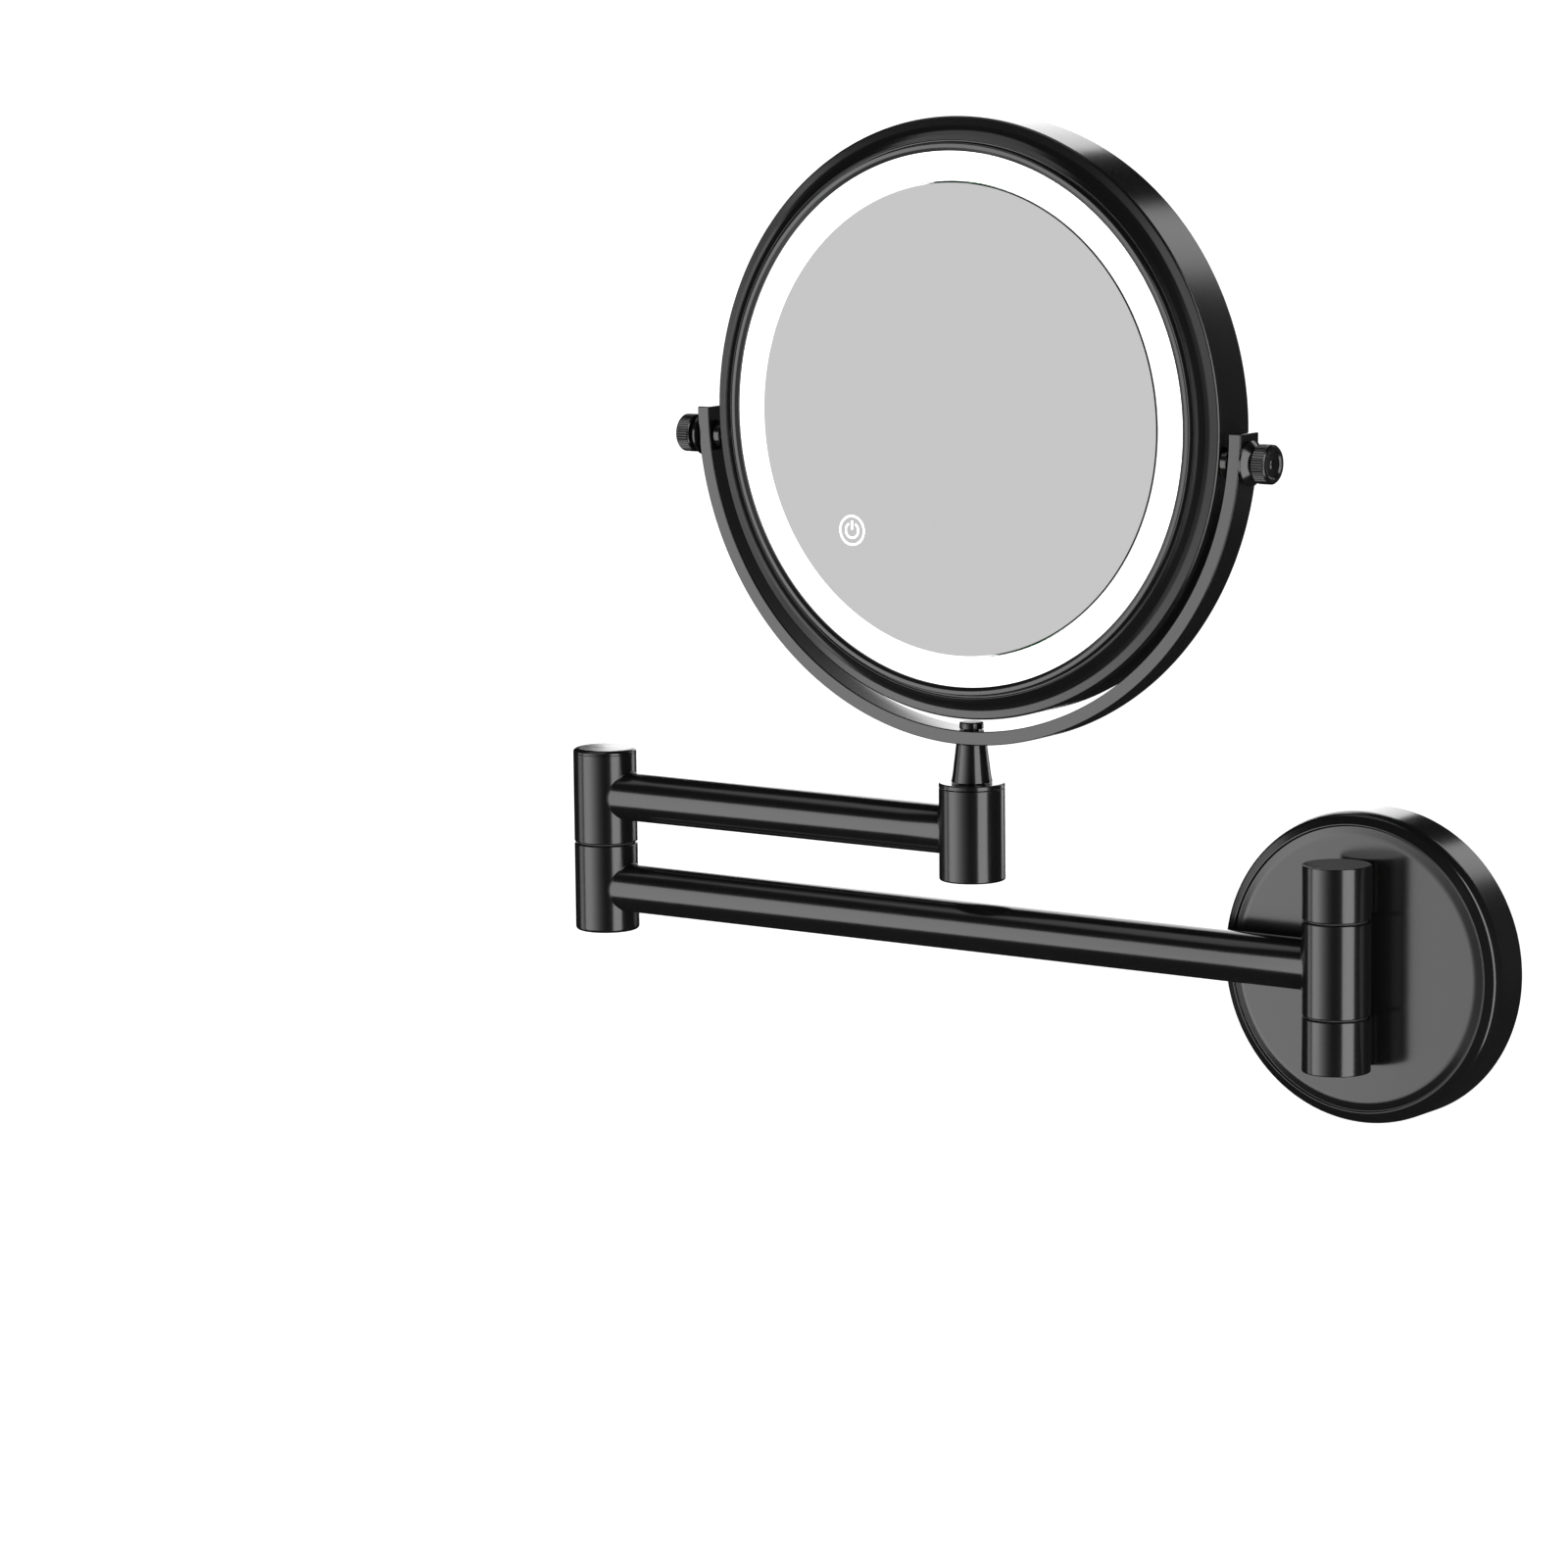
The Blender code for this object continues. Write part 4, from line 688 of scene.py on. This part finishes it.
def printed_arc(inner, outer, start, end, steps=72):
    """A thin flat arc of ink on the glass: a rectangle (inner..outer by its thickness) carried from start
    to end, in degrees from the top."""
    angle = np.radians(np.linspace(start, end, steps + 1))
    low = -(GLASS_FRONT + 0.01 * MM)
    section = [(inner, low), (outer, low), (outer, low - INK), (inner, low - INK), (inner, low)]
    grid = np.array([
        np.column_stack([r * np.sin(angle), np.full(steps + 1, y), r * np.cos(angle)]) for r, y in section
    ])
    if abs(end - start) < 360:
        ends = [np.repeat(grid[:, i].mean(0)[None], 5, 0)[:, None] for i in (0, -1)]
        grid = np.concatenate([ends[0], grid, ends[1]], 1)
    else:
        grid[:, -1] = grid[:, 0]
    return grid + np.array([MARK_X, HINGE_Y, MARK_Z])


mark_low = HINGE_Y - GLASS_FRONT - 0.01 * MM
mark = [
    printed_arc(4.85 * MM, 5.6 * MM, 0, 360), printed_arc(2.4 * MM, 3.1 * MM, 32, 328),
    block(
        (MARK_X - 0.42 * MM, mark_low - INK, MARK_Z + 0.3 * MM),
        (MARK_X + 0.42 * MM, mark_low, MARK_Z + 3.5 * MM),
    ),
]
make_piece("touch_mark", mark, print_white_painted_glow, "head", ())

# The softboxes are kept out of the glass, which reflects one large plain card instead.
kept_out = bpy.data.collections.new("kept_out_of_the_glass")
kept_out.objects.link(glass)
kept_out.collection_objects[0].light_linking.link_state = "EXCLUDE"
for unit in lights:
    unit.light_linking.receiver_collection = kept_out
card = softbox("mirror_card", -18, 0.1, 3.0, 12.0, 12.0, 1.0)
only_glass = bpy.data.collections.new("only_the_glass")
only_glass.objects.link(glass)
card.light_linking.receiver_collection = only_glass

# ---------------------------------------------------------------- back cover and battery door
# Moulded black plastic with a fine spark-eroded grain, held by countersunk screws. The door over the
# cells has a finger rib and its own screw.

moulded, shader = procedural("grained_black_plastic", (0.018, 0.018, 0.019), 0.5)
where = add_node(moulded, "ShaderNodeTexCoord")
grain = add_node(moulded, "ShaderNodeTexNoise", [("Vector", where, "Object")], Scale=2600.0, Detail=2.0)
tone = add_node(moulded, "ShaderNodeMapRange", [("Value", grain, "Fac")], To_Min=0.013, To_Max=0.024)
mix = add_node(moulded, "ShaderNodeCombineColor", [(c, tone, "Result") for c in ("Red", "Green", "Blue")])
gloss = add_node(moulded, "ShaderNodeMapRange", [("Value", grain, "Fac")], To_Min=0.42, To_Max=0.6)
bump = add_node(moulded, "ShaderNodeBump", [("Height", grain, "Fac")], Strength=0.25, Distance=0.0001)
moulded.node_tree.links.new(mix.outputs["Color"], shader.inputs["Base Color"])
moulded.node_tree.links.new(gloss.outputs["Result"], shader.inputs["Roughness"])
moulded.node_tree.links.new(bump.outputs["Normal"], shader.inputs["Normal"])
COVER = 105.9 * MM
DOOR_W = 116.0 * MM
DOOR_H = 30.0 * MM
cover_outline = [
    (0, HEAD_BACK + 2 * MM), (COVER, HEAD_BACK + 2 * MM), (COVER, HEAD_BACK, 0.5 * MM),
    (100.0 * MM, HEAD_BACK, 0.3 * MM), (99.6 * MM, HEAD_BACK + 0.5 * MM, 0.3 * MM),
    (98.4 * MM, HEAD_BACK + 0.5 * MM, 0.3 * MM),
    (98.0 * MM, HEAD_BACK, 0.3 * MM), (0, HEAD_BACK),
]
cover = make_piece(
    "back_cover", [turned(cover_outline, head_centre, "front", 256)], moulded, "head", ["rear_cover"],
)
cover_y = HINGE_Y - HEAD_BACK
door = make_piece(
    "battery_door",
    [block(
        (POST_X - DOOR_W / 2, cover_y - 1.6 * MM, HEAD_Z - DOOR_H / 2),
        (POST_X + DOOR_W / 2, cover_y, HEAD_Z + DOOR_H / 2),
    )],
    moulded, "head", ["battery_door"],
)
steel, shader = procedural("plated_steel", (0.5, 0.5, 0.51), 0.32, 1.0)
where = add_node(steel, "ShaderNodeTexCoord")
grain = add_node(steel, "ShaderNodeTexNoise", [("Vector", where, "Object")], Scale=700.0, Detail=3.0)
gloss = add_node(steel, "ShaderNodeMapRange", [("Value", grain, "Fac")], To_Min=0.25, To_Max=0.42)
bump = add_node(steel, "ShaderNodeBump", [("Height", grain, "Fac")], Strength=0.08, Distance=0.0001)
steel.node_tree.links.new(gloss.outputs["Result"], shader.inputs["Roughness"])
steel.node_tree.links.new(bump.outputs["Normal"], shader.inputs["Normal"])
reach = 90.25 * MM * math.sqrt(0.5)
corners = [(-reach, -reach), (-reach, reach), (reach, -reach), (reach, reach)]
screws = [(f"cover_screw_{i + 1}", x, z, 2.0 * MM) for i, (x, z) in enumerate(corners)]
screws.append(("door_screw", 54.0 * MM, 0.0, 1.6 * MM))
sinks = []
for name, x, z, sheet in screws:
    top = HEAD_BACK + sheet
    spot = (POST_X + x, HINGE_Y, HEAD_Z + z)
    sink = [
        (0, top + GAP), (1.6 * MM, top + GAP), (1.6 * MM, top - GAP), (2.9 * MM, HEAD_BACK - GAP),
        (0, HEAD_BACK - GAP),
    ]
    sinks.append(turned(sink, spot, "front", 40))
    shank = [
        (0, top + 8 * MM), (1.3 * MM, top + 8 * MM), (1.3 * MM, top - 0.5 * MM),
        (2.3 * MM, HEAD_BACK + 0.2 * MM),
        (0, HEAD_BACK + 0.2 * MM),
    ]
    screw = make_piece(name, [turned(shank, spot, "front", 40)], steel, "head", [name])
    for wide, tall in ((1.3 * MM, 0.25 * MM), (0.25 * MM, 1.3 * MM)):
        machine(screw, [block(
            (spot[0] - wide, cover_y - 0.9 * MM, spot[2] - tall),
            (spot[0] + wide, cover_y + MM, spot[2] + tall),
        )])
door_opening = block(
    (POST_X - DOOR_W / 2 - GAP, cover_y - 6 * MM, HEAD_Z - DOOR_H / 2 - GAP),
    (POST_X + DOOR_W / 2 + GAP, cover_y + 6 * MM, HEAD_Z + DOOR_H / 2 + GAP),
)
machine(cover, [door_opening, *sinks[:4]])
finger_grooves = [
    block(
        (POST_X - 54 * MM, cover_y - 0.5 * MM, z - 0.6 * MM),
        (POST_X - 44 * MM, cover_y + MM, z + 0.6 * MM),
    )
    for z in (HEAD_Z + (i - 2) * 2.6 * MM for i in range(5))
]
machine(door, [sinks[4], *finger_grooves])

# ---------------------------------------------------------------- carried-over pieces
# Pins, nuts, washers, the cast wall bracket and everything inside the head keep their CAD shapes and get
# their finishes here.

cast, shader = procedural("cast_aluminium", (0.5, 0.5, 0.5), 0.55, 1.0)
where = add_node(cast, "ShaderNodeTexCoord")
sand = add_node(cast, "ShaderNodeTexNoise", [("Vector", where, "Object")], Scale=900.0, Detail=4.0)
tone = add_node(cast, "ShaderNodeMapRange", [("Value", sand, "Fac")], To_Min=0.38, To_Max=0.58)
mix = add_node(cast, "ShaderNodeCombineColor", [(c, tone, "Result") for c in ("Red", "Green", "Blue")])
bump = add_node(cast, "ShaderNodeBump", [("Height", sand, "Fac")], Strength=0.4, Distance=0.0002)
cast.node_tree.links.new(mix.outputs["Color"], shader.inputs["Base Color"])
cast.node_tree.links.new(bump.outputs["Normal"], shader.inputs["Normal"])


def mottled(name, dark, light, roughness, scale, metallic=0.0):
    """A finish whose colour wanders between two tones, with a faint bump of the same grain."""
    material, shader = procedural(name, light, roughness, metallic)
    where = add_node(material, "ShaderNodeTexCoord")
    grain = add_node(material, "ShaderNodeTexNoise", [("Vector", where, "Object")], Scale=scale, Detail=3.0)
    ramp = add_node(material, "ShaderNodeMix", data_type="RGBA")
    ramp.inputs[6].default_value = (*dark, 1)
    ramp.inputs[7].default_value = (*light, 1)
    material.node_tree.links.new(grain.outputs["Fac"], ramp.inputs["Factor"])
    bump = add_node(material, "ShaderNodeBump", [("Height", grain, "Fac")], Strength=0.1, Distance=0.0001)
    material.node_tree.links.new(ramp.outputs[2], shader.inputs["Base Color"])
    material.node_tree.links.new(bump.outputs["Normal"], shader.inputs["Normal"])
    return material


finishes = {
    cast: ["wall_bracket"],
    steel: [
        "bracket_screw_upper", "bracket_screw_lower", "rosette_set_screw", "wall_hinge_pin", "elbow_pin",
        "elbow_lock_nut", "post_keeper", "post_keeper_screw", "pivot_stud_left", "pivot_stud_right",
        "battery_contact_left", "battery_contact_right",
    ],
    paint: ["wall_pin_plug"],
    mottled("black_nylon", (0.015, 0.015, 0.015), (0.03, 0.03, 0.03), 0.6, 800.0): [
        "wall_washer_upper", "wall_washer_lower", "elbow_washer",
    ],
    mottled("turned_brass", (0.5, 0.34, 0.12), (0.66, 0.47, 0.2), 0.3, 900.0, 1.0): [
        "pivot_bush_left", "pivot_bush_right",
    ],
    mottled("moulded_white_plastic", (0.76, 0.76, 0.75), (0.84, 0.84, 0.83), 0.5, 500.0): ["carrier_tray"],
    mottled("circuit_board_green", (0.03, 0.18, 0.07), (0.06, 0.28, 0.12), 0.45, 300.0): ["led_board",
    "touch_board"],
    moulded: ["battery_box"],
    mottled("cell_sleeve", (0.1, 0.1, 0.12), (0.18, 0.18, 0.2), 0.35, 200.0, 0.4): [
        f"battery_cell_{i}" for i in range(1, 5)
    ],
}
for material, names in finishes.items():
    for name in names:
        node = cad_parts[name]
        node.data.materials.clear()
        node.data.materials.append(material)
